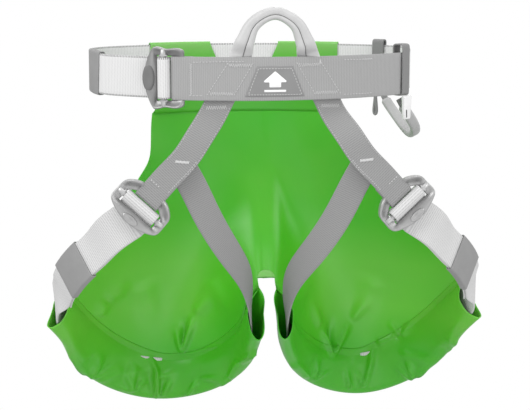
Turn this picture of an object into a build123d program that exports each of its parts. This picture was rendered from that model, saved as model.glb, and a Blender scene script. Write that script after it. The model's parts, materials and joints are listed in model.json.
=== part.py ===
from build123d import *
import math
import os

# Tree-climbing sit harness with a protective seat sheet.  Millimetres, +Z up.
# Origin: centre of the waist opening at the belt's mid height, front towards -Y.
# Left and right are the viewer's, looking at the front of the harness.

os.makedirs("parts", exist_ok=True)

# ---- driving dimensions ----
webbing = 2.0                 # thickness of every woven strap
gap = 0.3                     # air between two layers that lie on each other
belt_width = 44.0             # front belt
waist_strap_width = 42.0
leg_strap_width = 40.0
riser_width = 30.0            # risers and thigh straps
vinyl = 1.0                   # thickness of the seat sheet

belt_centre_x = -16.0         # the waist oval sits a little to the left of the legs
belt_half_width = 179.0       # oval, outer face of the front belt
belt_half_depth = 105.0
side_radius = 65.0            # tight arcs at the hips

leg_axis_x = 119.0            # middle of each leg opening
leg_buckle_at = (136.0, -101.5, -129.0)
leg_buckle_pull = (-0.67, 0.0, 0.74)
leg_buckle_out = (0.12, -1.0, 0.05)

buckle_length = 42.0          # along the strap
buckle_width = 62.0           # along the bar
buckle_plate = 3.0
bar_radius = 3.0
bar_height = 4.2              # bar axis above the middle of the plate
bar_seat_clearance = 0.05

# layers through the belt, as offsets from its outer face (negative is inward)
front_belt_layer = (-webbing, 0.0)
loop_tail_layer = (-4.1, -2.3)
riser_layer = -5.6
lining_layer = (-8.5, -7.0)
waist_strap_layer = -7.4
waist_tail_layer = -9.9

# ---- the waist oval: two side arcs and two long arcs, named by their outward normal ----
side_centre = belt_half_width - side_radius
long_arc_shift = (side_centre**2 - (belt_half_depth - side_radius) ** 2) / (
    2 * (belt_half_depth - side_radius)
)
long_radius = belt_half_depth + long_arc_shift
joint_angle = math.degrees(math.atan2(long_arc_shift, side_centre))


def oval_arc(normal):
    """Centre and radius of the arc whose outward normal points at this angle."""
    turn = normal % 360
    if turn < joint_angle or turn > 360 - joint_angle:
        return (belt_centre_x + side_centre, 0.0), side_radius
    if abs(turn - 180) < joint_angle:
        return (belt_centre_x - side_centre, 0.0), side_radius
    shift = -long_arc_shift if turn < 180 else long_arc_shift
    return (belt_centre_x, shift), long_radius


def oval_point(normal, offset, z=0.0):
    (x, y), radius = oval_arc(normal)
    angle = math.radians(normal)
    reach = radius + offset
    return Vector(x + reach * math.cos(angle), y + reach * math.sin(angle), z)


def oval_ray(normal):
    return Vector(math.cos(math.radians(normal)), math.sin(math.radians(normal)), 0)


def oval_normal_at(x, front=True):
    """Normal angle of the point on the front or back long arc at this x."""
    angle = math.degrees(math.acos((x - belt_centre_x) / long_radius))
    return 360 - angle if front else angle


def oval_spans(start, end):
    """The stretch from start to end, cut where one arc meets the next."""
    cuts = [turn * 360 + corner for turn in (-1, 0, 1) for corner in
            (joint_angle, 180 - joint_angle, 180 + joint_angle, 360 - joint_angle)]
    marks = [start] + sorted(cut for cut in cuts if start < cut < end) + [end]
    return list(zip(marks, marks[1:]))


def belt_band(start, end, layer, low, high):
    """A band standing on the oval between two normals, two offsets and two heights."""
    inner, outer = layer
    spans = oval_spans(start, end)
    with BuildPart() as band:
        with BuildSketch(Plane.XY.offset(low)):
            with BuildLine():
                for first, last in spans:
                    centre, radius = oval_arc((first + last) / 2)
                    CenterArc(centre, radius + outer, first, last - first)
                    CenterArc(centre, radius + inner, first, last - first)
                for corner in (start, end):
                    near = spans[0] if corner == start else spans[-1]
                    centre, radius = oval_arc((near[0] + near[1]) / 2)
                    ray = oval_ray(corner)
                    Line(Vector(*centre) + ray * (radius + inner), Vector(*centre) + ray * (radius + outer))
            make_face()
        extrude(amount=high - low)
    return band


def about(middle, size):
    return (middle - size / 2, middle + size / 2)


# ---- planes for straps: x across the strap, y outward, z along it ----
def strap_plane(origin, along, outward):
    along = Vector(*along).normalized()
    outward = Vector(*outward)
    outward = (outward - along * outward.dot(along)).normalized()
    return Plane(origin=origin, x_dir=outward.cross(along), z_dir=along)


def lifted(plane, height):
    return Plane(origin=plane.origin + plane.y_dir * height, x_dir=plane.x_dir, z_dir=plane.z_dir)


def planes_through(route):
    """Planes at each point of a route of (point, outward), facing along the route."""
    planes = []
    for index, (point, outward) in enumerate(route):
        before = route[max(index - 1, 0)][0]
        after = route[min(index + 1, len(route) - 1)][0]
        planes.append(strap_plane(point, after - before, outward))
    return planes


def spline_points(points, count):
    """Points at even steps along a smooth curve through the given ones."""
    with BuildLine() as curve:
        Spline(*points)
    edge = curve.edges()[0]
    return [edge.position_at(index / (count - 1)) for index in range(count)]


def facing(side, turn):
    """Outward direction on a leg: 0 to the other leg, 90 back, 180 outboard, 270 front."""
    return Vector(-side * math.cos(math.radians(turn)), math.sin(math.radians(turn)), 0)


def leg_route(side, stops, count):
    """A smooth route through (outboard, y, z, facing) stops, as evenly spaced (point, outward)."""
    with BuildLine() as curve:
        Spline(*[Vector(side * x, y, z) for x, y, z, _ in stops])
    edge = curve.edges()[0]
    marks = [edge.param_at_point(Vector(side * x, y, z)) for x, y, z, _ in stops]
    route = []
    for index in range(count):
        mark = index / (count - 1)
        span = max(k for k in range(len(marks) - 1) if marks[k] <= mark + 1e-9)
        share = (mark - marks[span]) / (marks[span + 1] - marks[span])
        turn = stops[span][3] * (1 - share) + stops[span + 1][3] * share
        route.append((edge.position_at(mark), facing(side, turn)))
    return route


def strap_between(planes, width, thickness):
    with BuildPart() as strap:
        for plane in planes:
            with BuildSketch(plane):
                Rectangle(width, thickness)
        loft(ruled=True)
    return strap


# ---- buckles: x towards the sewn strap, y along the bar, z outward ----
def leg_buckle_plane(side):
    x, y, z = leg_buckle_at
    pull = Vector(side * leg_buckle_pull[0], leg_buckle_pull[1], leg_buckle_pull[2]).normalized()
    out = Vector(side * leg_buckle_out[0], leg_buckle_out[1], leg_buckle_out[2])
    out = (out - pull * out.dot(pull)).normalized()
    return Plane(origin=(side * x, y, z), x_dir=pull, z_dir=out)


def side_view(plane, reach=0.0):
    """The plane across the bar: x along the strap, y outward, z along the bar."""
    origin = plane.origin + plane.y_dir * reach
    return Plane(origin=origin, x_dir=plane.x_dir, z_dir=-plane.y_dir)


def buckle_point(plane, x, z):
    return plane.origin + plane.x_dir * x + plane.z_dir * z


window_back, window_front = -9.0, 13.5       # the opening in the plate, along the strap
window_half = 23.3
plate_chamfer = 9.0
cheek_width = 6.8
cheek_height = 7.6
roll_inner = bar_radius + gap
roll_outer = roll_inner + webbing
main_level = -3.6                            # the strap under the thumb lip
free_end_level = -6.1                        # and its doubled-back end under that
sewn_level = 2.8                             # the sewn strap over the fixed bar
strap_leaves_at = -26.0
sewn_leaves_at = 32.0


def buckle_frame(plane):
    with BuildPart() as frame:
        with BuildSketch(plane.offset(-buckle_plate / 2)) as outline:
            Rectangle(buckle_length, buckle_width)
            chamfer(outline.vertices(), plate_chamfer)
            with Locations(((window_back + window_front) / 2, 0)):
                Rectangle(window_front - window_back, 2 * window_half, mode=Mode.SUBTRACT)
        extrude(amount=buckle_plate)
        cheek_middle = buckle_width / 2 - cheek_width / 2
        for end in (-1, 1):
            with BuildSketch(side_view(plane, end * cheek_middle)):
                with BuildLine():
                    Polyline((-12, 0), (-9, cheek_height - 2), (-6, cheek_height))
                    Line((-6, cheek_height), (8, cheek_height))
                    Polyline((8, cheek_height), (12, cheek_height - 2), (14, 0), (-12, 0))
                make_face()
            extrude(amount=cheek_width / 2, both=True)
        with BuildSketch(side_view(plane)):
            with BuildLine():
                Polyline((-21, -1.5), (-22.5, 4.5), (-20, 5.2), (-13, 1.5), (-13, -1.5), (-21, -1.5))
            make_face()
        extrude(amount=15, both=True)
        with BuildSketch(plane.offset(11)):
            with Locations((-22, 0)):
                Circle(8)
        extrude(amount=-9, mode=Mode.SUBTRACT)
        with BuildSketch(side_view(plane)):
            with Locations((0, bar_height)):
                Circle(bar_radius + bar_seat_clearance)
        extrude(amount=buckle_width / 2 - 2, both=True, mode=Mode.SUBTRACT)
    return frame


def buckle_slider(plane):
    """The bar the strap rolls over, with a grip lug at each end beside the strap."""
    with BuildPart() as slider:
        with BuildSketch(side_view(plane)):
            with Locations((0, bar_height)):
                Circle(bar_radius)
        extrude(amount=buckle_width / 2 - 2.3, both=True)
        for end in (-1, 1):
            with BuildSketch(side_view(plane, end * 22.5)):
                with Locations((0, bar_height)):
                    SlotOverall(11, 5.4)
            extrude(amount=0.5, both=True)
    return slider


def strap_over_bar(plane, width):
    """The adjustable strap: in under the lip, over the bar and back out under itself."""
    far = strap_leaves_at - 1
    with BuildPart() as roll:
        with BuildSketch(side_view(plane)):
            with Locations((0, bar_height)):
                Circle(roll_outer)
                Circle(roll_inner, mode=Mode.SUBTRACT)
                with Locations((0, -roll_outer)):
                    Rectangle(2 * roll_inner, 2 * roll_outer, mode=Mode.SUBTRACT)
            with BuildLine():
                Polyline((far, main_level - 1), (-roll_inner, main_level - 1), (-roll_inner, bar_height),
                         (-roll_outer, bar_height), (-roll_outer, main_level + 1), (far, main_level + 1),
                         (far, main_level - 1))
            make_face()
            with BuildLine():
                Polyline((far, free_end_level - 1), (roll_outer, free_end_level - 1),
                         (roll_outer, bar_height), (roll_inner, bar_height),
                         (roll_inner, free_end_level + 1), (far, free_end_level + 1),
                         (far, free_end_level - 1))
            make_face()
        extrude(amount=width / 2, both=True)
    return roll


def strap_round_fixed_bar(plane, width, far):
    """The sewn strap: over the fixed bar, down through the window and back under it."""
    near = window_front - gap - webbing
    with BuildPart() as bight:
        with BuildSketch(side_view(plane)):
            with BuildLine():
                Polyline((far, sewn_level + 1), (near, sewn_level + 1), (near, -sewn_level - 1),
                         (far, -sewn_level - 1), (far, -sewn_level + 1), (near + webbing, -sewn_level + 1),
                         (near + webbing, sewn_level - 1), (far, sewn_level - 1), (far, sewn_level + 1))
            make_face()
        extrude(amount=width / 2, both=True)
    return bight


# ================= waist belt =================
waist_buckle_normal = 247.4
waist_buckle_layer = -3.8
waist_buckle_origin = oval_point(waist_buckle_normal, waist_buckle_layer)
turn = math.radians(waist_buckle_normal)
waist_buckle = Plane(
    origin=waist_buckle_origin,
    x_dir=(-math.sin(turn), math.cos(turn), 0),
    z_dir=(math.cos(turn), math.sin(turn), 0),
)
degrees_per_mm = math.degrees(1 / long_radius)

# Front belt: sewn round the buckle's fixed bar on the left, ends at the right hip.
front_belt_end = 313.0
bight_end = sewn_leaves_at - 2
front_belt_start = waist_buckle_normal + bight_end * degrees_per_mm
belt_run = belt_band(front_belt_start - 0.6, front_belt_end, front_belt_layer, *about(0, belt_width))
belt_bight = strap_round_fixed_bar(waist_buckle, belt_width, bight_end)
with BuildPart() as front_belt:
    add(belt_run.part)
    add(belt_bight.part)
front_belt.part.label = "front_belt"
export_step(front_belt.part, "parts/front_belt.step")

front_belt_lining = belt_band(259, 284, lining_layer, *about(0, belt_width - 6))
front_belt_lining.part.label = "front_belt_lining"
export_step(front_belt_lining.part, "parts/front_belt_lining.step")

# Waist strap: from behind the belt's right end, round the back, to the buckle bar and back.
strap_start = 290.0 - 360.0
strap_end = waist_buckle_normal + strap_leaves_at * degrees_per_mm
free_end_stops = 184.0
strap_height = about(0, waist_strap_width)
main_run = belt_band(strap_start, strap_end, about(waist_strap_layer, webbing), *strap_height)
free_run = belt_band(free_end_stops, strap_end, about(waist_tail_layer, webbing), *strap_height)
waist_roll = strap_over_bar(waist_buckle, waist_strap_width)
with BuildPart() as waist_strap:
    add(main_run.part)
    add(free_run.part)
    add(waist_roll.part)
waist_strap.part.label = "waist_strap"
export_step(waist_strap.part, "parts/waist_strap.step")

waist_buckle_frame = buckle_frame(waist_buckle)
waist_buckle_frame.part.label = "waist_buckle_frame"
export_step(waist_buckle_frame.part, "parts/waist_buckle_frame.step")

waist_buckle_slider = buckle_slider(waist_buckle)
waist_buckle_slider.part.label = "waist_buckle_slider"
export_step(waist_buckle_slider.part, "parts/waist_buckle_slider.step")

# Keeper: an elastic band round both layers on the left side arc, free to slide along it.
keeper_wall = 1.5
keeper_play = 0.4
keeper_outer = waist_strap_layer + webbing / 2 + keeper_play
keeper_inner = waist_tail_layer - webbing / 2 - keeper_play
keeper_half = waist_strap_width / 2 + keeper_play
keeper_shell = belt_band(190, 206, (keeper_inner - keeper_wall, keeper_outer + keeper_wall),
                         -keeper_half - keeper_wall, keeper_half + keeper_wall)
keeper_hollow = belt_band(189, 207, (keeper_inner, keeper_outer), -keeper_half, keeper_half)
with BuildPart() as waist_keeper:
    add(keeper_shell.part)
    add(keeper_hollow.part, mode=Mode.SUBTRACT)
waist_keeper.part.label = "waist_keeper"
export_step(waist_keeper.part, "parts/waist_keeper.step")

# Patch that marks the tie-in point: a trapezium on the belt's outer face.
patch_low, patch_high = -16.4, 10.7
patch_half_low, patch_half_high = 28.0, 16.0
patch_band = belt_band(260, 284, (0.2, 1.6), patch_low, patch_high)
with BuildPart() as attachment_patch:
    add(patch_band.part)
    with BuildSketch(Plane.XZ.offset(90)):
        with BuildLine():
            Polyline((-patch_half_low, patch_low), (patch_half_low, patch_low),
                     (patch_half_high, patch_high), (-patch_half_high, patch_high),
                     (-patch_half_low, patch_low))
        make_face()
    extrude(amount=30, mode=Mode.INTERSECT)
attachment_patch.part.label = "attachment_patch"
export_step(attachment_patch.part, "parts/attachment_patch.step")

# ================= tie-in loop =================
loop_y = oval_point(270, sum(loop_tail_layer) / 2).Y
loop_hinge_z = 26.0
loop_base_z = 26.5
# half of the arch: distance from the middle, height over its base, thickness in its plane
arch_half = [(33, 0, 21.5), (31.5, 6, 20), (29, 12.6, 18), (23.5, 25, 15), (13.5, 34, 13.5)]
arch_top = (0, 38.5, 13)
sheath_depth = 16.0
sheath_corner = 5.0
arch = ([(-x, z, t) for x, z, t in arch_half] + [arch_top] + [(x, z, t) for x, z, t in reversed(arch_half)])
arch_foot = arch_half[0][0]
core_width, core_thick = 10.0, 5.0
hinge_roll = 2.0              # radius of the fold that the loop tilts about


def arch_planes():
    route = [(Vector(x, loop_y, loop_base_z + z), Vector(0, -1, 0)) for x, z, _ in arch]
    planes = planes_through(route)
    for index in (0, -1):
        upward = 1 if index == 0 else -1
        planes[index] = strap_plane(route[index][0], (0, 0, upward), (0, -1, 0))
    return planes


with BuildPart() as tie_in_loop_webbing:
    for plane in arch_planes():
        with BuildSketch(plane):
            Rectangle(core_thick, core_width)
    loft()
    for side in (-1, 1):
        with BuildSketch(Plane.YZ.offset(side * arch_foot)):
            with Locations((loop_y, loop_hinge_z)):
                Circle(hinge_roll)
        extrude(amount=9, both=True)
tie_in_loop_webbing.part.label = "tie_in_loop_webbing"
export_step(tie_in_loop_webbing.part, "parts/tie_in_loop_webbing.step")

with BuildPart() as loop_bore:
    for plane in arch_planes():
        with BuildSketch(plane):
            Rectangle(core_thick + gap, core_width + gap)
    loft()

with BuildPart() as tie_in_loop_sheath:
    for plane, thick in zip(arch_planes(), [thick for _, _, thick in arch]):
        with BuildSketch(plane):
            RectangleRounded(thick, sheath_depth, sheath_corner)
    loft()
    for side in (-1, 1):
        with BuildSketch(Plane.YZ.offset(side * arch_foot)):
            with Locations((loop_y, loop_hinge_z)):
                Circle(hinge_roll + gap)
        extrude(amount=12, both=True, mode=Mode.SUBTRACT)
    add(loop_bore.part, mode=Mode.SUBTRACT)
tie_in_loop_sheath.part.label = "tie_in_loop_sheath"
export_step(tie_in_loop_sheath.part, "parts/tie_in_loop_sheath.step")

# The loop's two flat ends, sewn in behind the front belt.
tail_half, tail_low, tail_high = 9.0, -17.0, 22.5
tails = []
for side in (-1, 1):
    ends = [oval_normal_at(side * arch_foot + reach) for reach in (-tail_half, tail_half)]
    tails.append(belt_band(*ends, loop_tail_layer, tail_low, tail_high))
with BuildPart() as tie_in_loop_tails:
    for tail in tails:
        add(tail.part)
tie_in_loop_tails.part.label = "tie_in_loop_tails"
export_step(tie_in_loop_tails.part, "parts/tie_in_loop_tails.step")

# ================= gear side, on the right hip =================
hanger_wall = 1.8


def ray_plane(normal, offset, z):
    """Plane across the belt: x outward, y up, z along the belt."""
    angle = math.radians(normal)
    return Plane(origin=oval_point(normal, offset, z), x_dir=(math.cos(angle), math.sin(angle), 0),
                 z_dir=(math.sin(angle), -math.cos(angle), 0))


def gear_hanger(normal, width, inner, outer, low, high):
    """A webbing loop closed round the belt, standing a little above it."""
    middle = ray_plane(normal, (inner + outer) / 2, (low + high) / 2)
    with BuildPart() as hanger:
        with BuildSketch(middle):
            RectangleRounded(outer - inner + 2 * hanger_wall, high - low + 2 * hanger_wall, 4)
            RectangleRounded(outer - inner, high - low, 2.2, mode=Mode.SUBTRACT)
        extrude(amount=width / 2, both=True)
    return hanger


front_hanger_normal = 317.5
rear_hanger_normal = 52.0
hanger_low, hanger_high = -22.6, 28.5
front_gear_hanger = gear_hanger(front_hanger_normal, 12, -9.6, 0.9, hanger_low, hanger_high)
front_gear_hanger.part.label = "front_gear_hanger"
export_step(front_gear_hanger.part, "parts/front_gear_hanger.step")

rear_gear_hanger = gear_hanger(rear_hanger_normal, 14, -10.2, -4.8, hanger_low, hanger_high)
rear_gear_hanger.part.label = "rear_gear_hanger"
export_step(rear_gear_hanger.part, "parts/rear_gear_hanger.step")

# Moulded gear loop: hangs from the lower folds of both hangers and stands out from the hip.
pivot_z = -27.6
pivot_radius = 2.2
gear_rear = ray_plane(rear_hanger_normal, -7.5, pivot_z).origin + Vector(3.2, -4.2, 0)
gear_front = ray_plane(front_hanger_normal, -8.4, pivot_z).origin + Vector(2.4, 2.6, 0)
gear_axis = (gear_front - gear_rear).normalized()
gear_out = gear_axis.cross(Vector(0, 0, 1)).normalized() * -1
# along the line of the pivots, outward from it, and down
gear_stops = [(0.0, 0, 0), (0.045, 4, -9), (0.13, 11, -23), (0.27, 18, -37), (0.46, 23, -46),
              (0.66, 24, -45), (0.85, 21, -36), (0.955, 13, -22), (0.985, 5, -9), (1.0, 0, 0)]
gear_span = (gear_front - gear_rear).length


def gear_planes(first, last):
    middle = gear_rear + (gear_front - gear_rear) * 0.5 + gear_out * 9 + Vector(0, 0, -12)
    route = []
    for along, out, down in gear_stops:
        point = gear_rear + gear_axis * (along * gear_span) + gear_out * out + Vector(0, 0, down)
        route.append((point, point - middle))
    return planes_through(route)[first:last]


gear_strap_width, gear_strap_thick = 7.0, 2.0
with BuildPart() as gear_loop_strap:
    for plane in gear_planes(0, len(gear_stops)):
        with BuildSketch(plane):
            Rectangle(gear_strap_width, gear_strap_thick)
    loft()
    for end in (gear_rear, gear_front):
        with BuildSketch(Plane(origin=end, x_dir=(0, 0, 1), z_dir=gear_axis)):
            Circle(pivot_radius)
        extrude(amount=3, both=True)
gear_loop_strap.part.label = "gear_loop_strap"
export_step(gear_loop_strap.part, "parts/gear_loop_strap.step")

with BuildPart() as gear_bore:
    for plane in gear_planes(0, len(gear_stops)):
        with BuildSketch(plane):
            Rectangle(gear_strap_width + gap, gear_strap_thick + gap)
    loft()

with BuildPart() as gear_loop_sleeve:
    for plane in gear_planes(1, -1):
        with BuildSketch(plane):
            RectangleRounded(11, 6.5, 2.4)
    loft()
    add(gear_bore.part, mode=Mode.SUBTRACT)
gear_loop_sleeve.part.label = "gear_loop_sleeve"
export_step(gear_loop_sleeve.part, "parts/gear_loop_sleeve.step")

# Tool tag: a moulded tab with a slot, hanging from the front hanger's outer fold.
tag_plane = ray_plane(front_hanger_normal, 3.6, pivot_z)
tag_face = Plane(origin=tag_plane.origin, x_dir=-tag_plane.z_dir, z_dir=tag_plane.x_dir)
with BuildPart() as tool_tag:
    with BuildSketch(tag_face.offset(-0.8)):
        with BuildLine():
            Polyline((-6, 0), (6, 0), (4.6, -24), (-4.6, -24), (-6, 0))
        make_face()
        with Locations((0, -14)):
            SlotOverall(12, 3, rotation=90, mode=Mode.SUBTRACT)
    extrude(amount=1.6)
    with BuildSketch(Plane(origin=tag_face.origin, x_dir=(0, 0, 1), z_dir=tag_face.x_dir)):
        Circle(1.6)
    extrude(amount=6, both=True)
tool_tag.part.label = "tool_tag"
export_step(tool_tag.part, "parts/tool_tag.step")

# Lanyard loop: a small teardrop of cord webbing under the rear hanger.
lanyard_plane = ray_plane(rear_hanger_normal, -7.5, pivot_z)
lanyard_face = Plane(origin=lanyard_plane.origin - lanyard_plane.z_dir * 4,
                     x_dir=-lanyard_plane.z_dir, z_dir=lanyard_plane.x_dir)
with BuildPart() as lanyard_loop:
    with BuildSketch(lanyard_face.offset(-1.5)):
        with Locations((0, -11)):
            SlotOverall(26, 9, rotation=90)
            with Locations((0, -5)):
                SlotOverall(10, 3.6, rotation=90, mode=Mode.SUBTRACT)
    extrude(amount=3)
    with BuildSketch(Plane(origin=lanyard_face.origin, x_dir=(0, 0, 1), z_dir=lanyard_face.x_dir)):
        Circle(1.9)
    extrude(amount=3, both=True)
lanyard_loop.part.label = "lanyard_loop"
export_step(lanyard_loop.part, "parts/lanyard_loop.step")

# ================= legs =================
# Each leg loop as (outboard, y, z, facing): down the inside of the thigh, under it, and up outside.
thigh_stops = [(84, -95.5, -84, -90), (70, -89, -138, -78), (43, -68, -187, -58), (25, -38, -220, -34),
               (17, -14, -250, -14)]
inner_mouth = (17, 8, -285, 5)
under_stops = [(32, 52, -325, 35), (70, 87, -357, 65), (119, 98, -368, 90), (168, 86, -352, 115),
               (205, 50, -316, 148)]
outer_mouth = (221, 6, -272, 176)
above_mouth = (226, -24, -249, 195)
below_buckle = (173, -93.5, -166, 247)
lap_end = (119, 98 + webbing + 2 * gap, -368, 90)
arc_foot = (222.9, -44.0, -228.6, 207)

keeper_arc = 100.0            # the leg strap bends evenly here, so its keeper can slide
keeper_stop = (212.0, -67.0, -205.0, 219.0)
keeper_along = (-0.459, -0.561, 0.689)


def keeper_plane(side):
    x, y, z, turn = keeper_stop
    along = (side * keeper_along[0], keeper_along[1], keeper_along[2])
    return strap_plane((side * x, y, z), along, facing(side, turn))


def keeper_station(side, angle, height=0.0):
    """The keeper plane moved along its arc by an angle, at a height off the strap."""
    base = keeper_plane(side)
    centre = base.origin - base.y_dir * keeper_arc
    swing = math.radians(angle)
    radial = base.y_dir * math.cos(swing) + base.z_dir * math.sin(swing)
    along = base.z_dir * math.cos(swing) - base.y_dir * math.sin(swing)
    return strap_plane(centre + radial * (keeper_arc + height), along, radial)


def riser_piece(side):
    """Riser: sewn behind the belt, across the groin, and round the leg buckle's fixed bar."""
    buckle = leg_buckle_plane(side)
    route = []
    for reach, z in ((36, 17), (46, -2), (56, -20), (64, -35)):
        normal = oval_normal_at(side * reach)
        route.append((oval_point(normal, riser_layer, z), oval_ray(normal)))
    route.append((Vector(side * 78, -99, -58), Vector(side * 0.1, -1, 0)))
    route.append((Vector(side * 94, -102.5, -80), Vector(0, -1, 0)))
    route.append((buckle_point(buckle, sewn_leaves_at, sewn_level), buckle.z_dir))
    planes = planes_through(route)
    planes[-1] = strap_plane(route[-1][0], -buckle.x_dir, buckle.z_dir)
    run = strap_between(planes, riser_width, webbing)
    bight = strap_round_fixed_bar(buckle, riser_width, sewn_leaves_at)
    with BuildPart() as riser:
        add(run.part)
        add(bight.part)
    return riser


def thigh_strap_piece(side):
    stops = thigh_stops + [inner_mouth] + under_stops[:3]
    return strap_between(planes_through(leg_route(side, stops, 25)), riser_width, webbing)


def leg_strap_piece(side):
    """Leg strap: from under the thigh, out of the tunnel, over the buckle bar and back."""
    buckle = leg_buckle_plane(side)
    lower = leg_route(side, [lap_end] + under_stops[3:] + [outer_mouth, above_mouth, arc_foot], 17)[:-1]
    arc = [keeper_station(side, angle) for angle in range(-20, 21, 4)]
    x, y, z, turn = below_buckle
    near = strap_plane((side * x, y, z), buckle.x_dir, facing(side, turn))
    end = strap_plane(buckle_point(buckle, strap_leaves_at, main_level), buckle.x_dir, buckle.z_dir)
    main = strap_between(planes_through(lower) + arc + [near, end], leg_strap_width, webbing)
    step = free_end_level - main_level
    free_arc = [keeper_station(side, angle, step) for angle in range(-24, 21, 4)]
    free_end = strap_between(free_arc + [lifted(near, step), lifted(end, step)], leg_strap_width, webbing)
    roll = strap_over_bar(buckle, leg_strap_width)
    with BuildPart() as strap:
        add(main.part)
        add(free_end.part)
        add(roll.part)
    return strap


def leg_keeper_piece(side):
    """An elastic band round both layers of the leg strap, swept about the strap's own arc."""
    half_angle = 8
    start = keeper_station(side, -half_angle)
    base = keeper_plane(side)
    centre = base.origin - base.y_dir * keeper_arc
    middle = (free_end_level - main_level) / 2
    stack = webbing - (free_end_level - main_level) + 2 * keeper_play
    width = leg_strap_width + 2 * keeper_play
    turning = Axis(centre, base.y_dir.cross(base.z_dir))
    with BuildPart() as keeper:
        with BuildSketch(start):
            with Locations((0, middle)):
                Rectangle(width + 2 * keeper_wall, stack + 2 * keeper_wall)
                Rectangle(width, stack, mode=Mode.SUBTRACT)
        revolve(axis=turning, revolution_arc=2 * half_angle)
    return keeper


# ---- seat sheet ----
def curved_panel(stations):
    """A sheet through strips given as (top, bottom, outward, bow)."""
    with BuildPart() as panel:
        for top, bottom, outward, bow in stations:
            down = bottom - top
            plane = Plane(origin=top, x_dir=down, z_dir=down.cross(outward))
            length = down.length
            with BuildSketch(plane):
                with BuildLine():
                    ThreePointArc((0, 0), (length / 2, bow), (length, 0))
                    Line((length, 0), (length, vinyl))
                    ThreePointArc((length, vinyl), (length / 2, bow + vinyl), (0, vinyl))
                    Line((0, vinyl), (0, 0))
                make_face()
        loft(ruled=True)
    return panel


# lower edge of the back panel, which is also the upper edge of each leg panel: outboard, y, z
panel_edge = [(134, 57, -131), (101, 75, -152), (62, 70, -188), (27, 48, -224)]
crotch = (0, 24, -236)
panel_top_z = -47.0
panel_top_half = 103.0
weld_reach = 27.2             # from a leg strap's centre line up to the weld over it


def back_panel_piece():
    left = [(-x, y, z) for x, y, z in panel_edge]
    lower = left + [crotch] + panel_edge[::-1]
    stations = []
    for index, bottom in enumerate(spline_points(lower, 17)):
        share = index / 8 - 1
        normal = oval_normal_at(belt_centre_x + share * panel_top_half, front=False)
        bow = 3 + 19 * math.cos(share * math.pi / 2)
        stations.append((oval_point(normal, -8.5, panel_top_z), bottom, oval_ray(normal), bow))
    return curved_panel(stations)


def leg_panel_piece(side):
    """One leg's part of the sheet, from the back panel down to the tunnel's weld."""
    inner = [(9, 19, -241)]
    shared = [(x, y + 0.5, z - 3) for x, y, z in reversed(panel_edge)]
    outer = [(178, 36, -176), (219, 4, -224)]
    tunnel = tunnel_planes(side)
    tops = spline_points([(side * x, y, z) for x, y, z in inner + shared + outer], len(tunnel))
    stations = []
    for index, (top, plane) in enumerate(zip(tops, tunnel)):
        bottom = plane.origin - plane.x_dir * side * weld_reach + plane.y_dir * 0.8
        bow = 0.5 + 13 * math.sin(math.pi * index / (len(tunnel) - 1))
        stations.append((top, bottom, plane.y_dir, bow))
    return curved_panel(stations)


def tunnel_planes(side):
    stops = [(16.6, -4, -267.5, -5), inner_mouth] + under_stops + [outer_mouth, (224, -6, -262, 184)]
    return planes_through(leg_route(side, stops, 21))


def leg_tunnel_piece(side):
    """The folded hem that holds the leg loop: open along the weld, closed round the fold."""
    outside = [(27, 3.2), (10, 10.5), (-17, 9), (-25, 2), (-21, -4.8), (10, -5.6), (27, -0.8)]
    inside = [(27, 0.2), (10, -4.6), (-20.4, -3.8), (-23.8, 2), (-16.4, 7.9), (9.6, 9.4), (27, 2.4)]
    outline = [(-side * x, y) for x, y in outside + inside]
    with BuildPart() as tunnel:
        for plane in tunnel_planes(side):
            with BuildSketch(plane):
                Polygon(*outline, align=None)
        loft(ruled=True)
    return tunnel


def belt_tunnel_piece(side):
    """A flap of the sheet folded over the waist strap at the back."""
    normals = sorted(oval_normal_at(belt_centre_x + side * reach, front=False) for reach in (39.4, 107))
    outside = belt_band(*normals, (-5.6, -5.6 + vinyl), -46, 24)
    inside = belt_band(*normals, (-9.2 - vinyl, -9.2), -46, 24)
    fold = belt_band(*normals, (-9.2 - vinyl, -5.6 + vinyl), 23, 24)
    with BuildPart() as flap:
        add(outside.part)
        add(inside.part)
        add(fold.part)
    return flap


seat_back_panel = back_panel_piece()
seat_back_panel.part.label = "seat_back_panel"
export_step(seat_back_panel.part, "parts/seat_back_panel.step")

with BuildPart() as crotch_patch:
    with BuildSketch(Plane(origin=(0, 21.5, -235), x_dir=(1, 0, 0), z_dir=(0, -0.8, -0.6))):
        Circle(9)
        with Locations((0, -6)):
            Rectangle(20, 12, mode=Mode.SUBTRACT)
    extrude(amount=vinyl)
crotch_patch.part.label = "crotch_patch"
export_step(crotch_patch.part, "parts/crotch_patch.step")

for side, name in ((-1, "left"), (1, "right")):
    pieces = {
        "riser": riser_piece(side),
        "thigh_strap": thigh_strap_piece(side),
        "leg_strap": leg_strap_piece(side),
        "leg_keeper": leg_keeper_piece(side),
        "leg_buckle_frame": buckle_frame(leg_buckle_plane(side)),
        "leg_buckle_slider": buckle_slider(leg_buckle_plane(side)),
        "seat_leg_panel": leg_panel_piece(side),
        "leg_tunnel": leg_tunnel_piece(side),
        "belt_tunnel": belt_tunnel_piece(side),
    }
    for piece_name, piece in pieces.items():
        piece.part.label = f"{name}_{piece_name}"
        export_step(piece.part, f"parts/{name}_{piece_name}.step")
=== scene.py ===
"""Looks of the tree-climbing sit harness, built round its CAD frame.

Lengths are in millimetres, as in the CAD source, and become metres where a mesh is made.
Left and right are the viewer's, looking at the front of the harness.
"""

import json
import math

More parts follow.
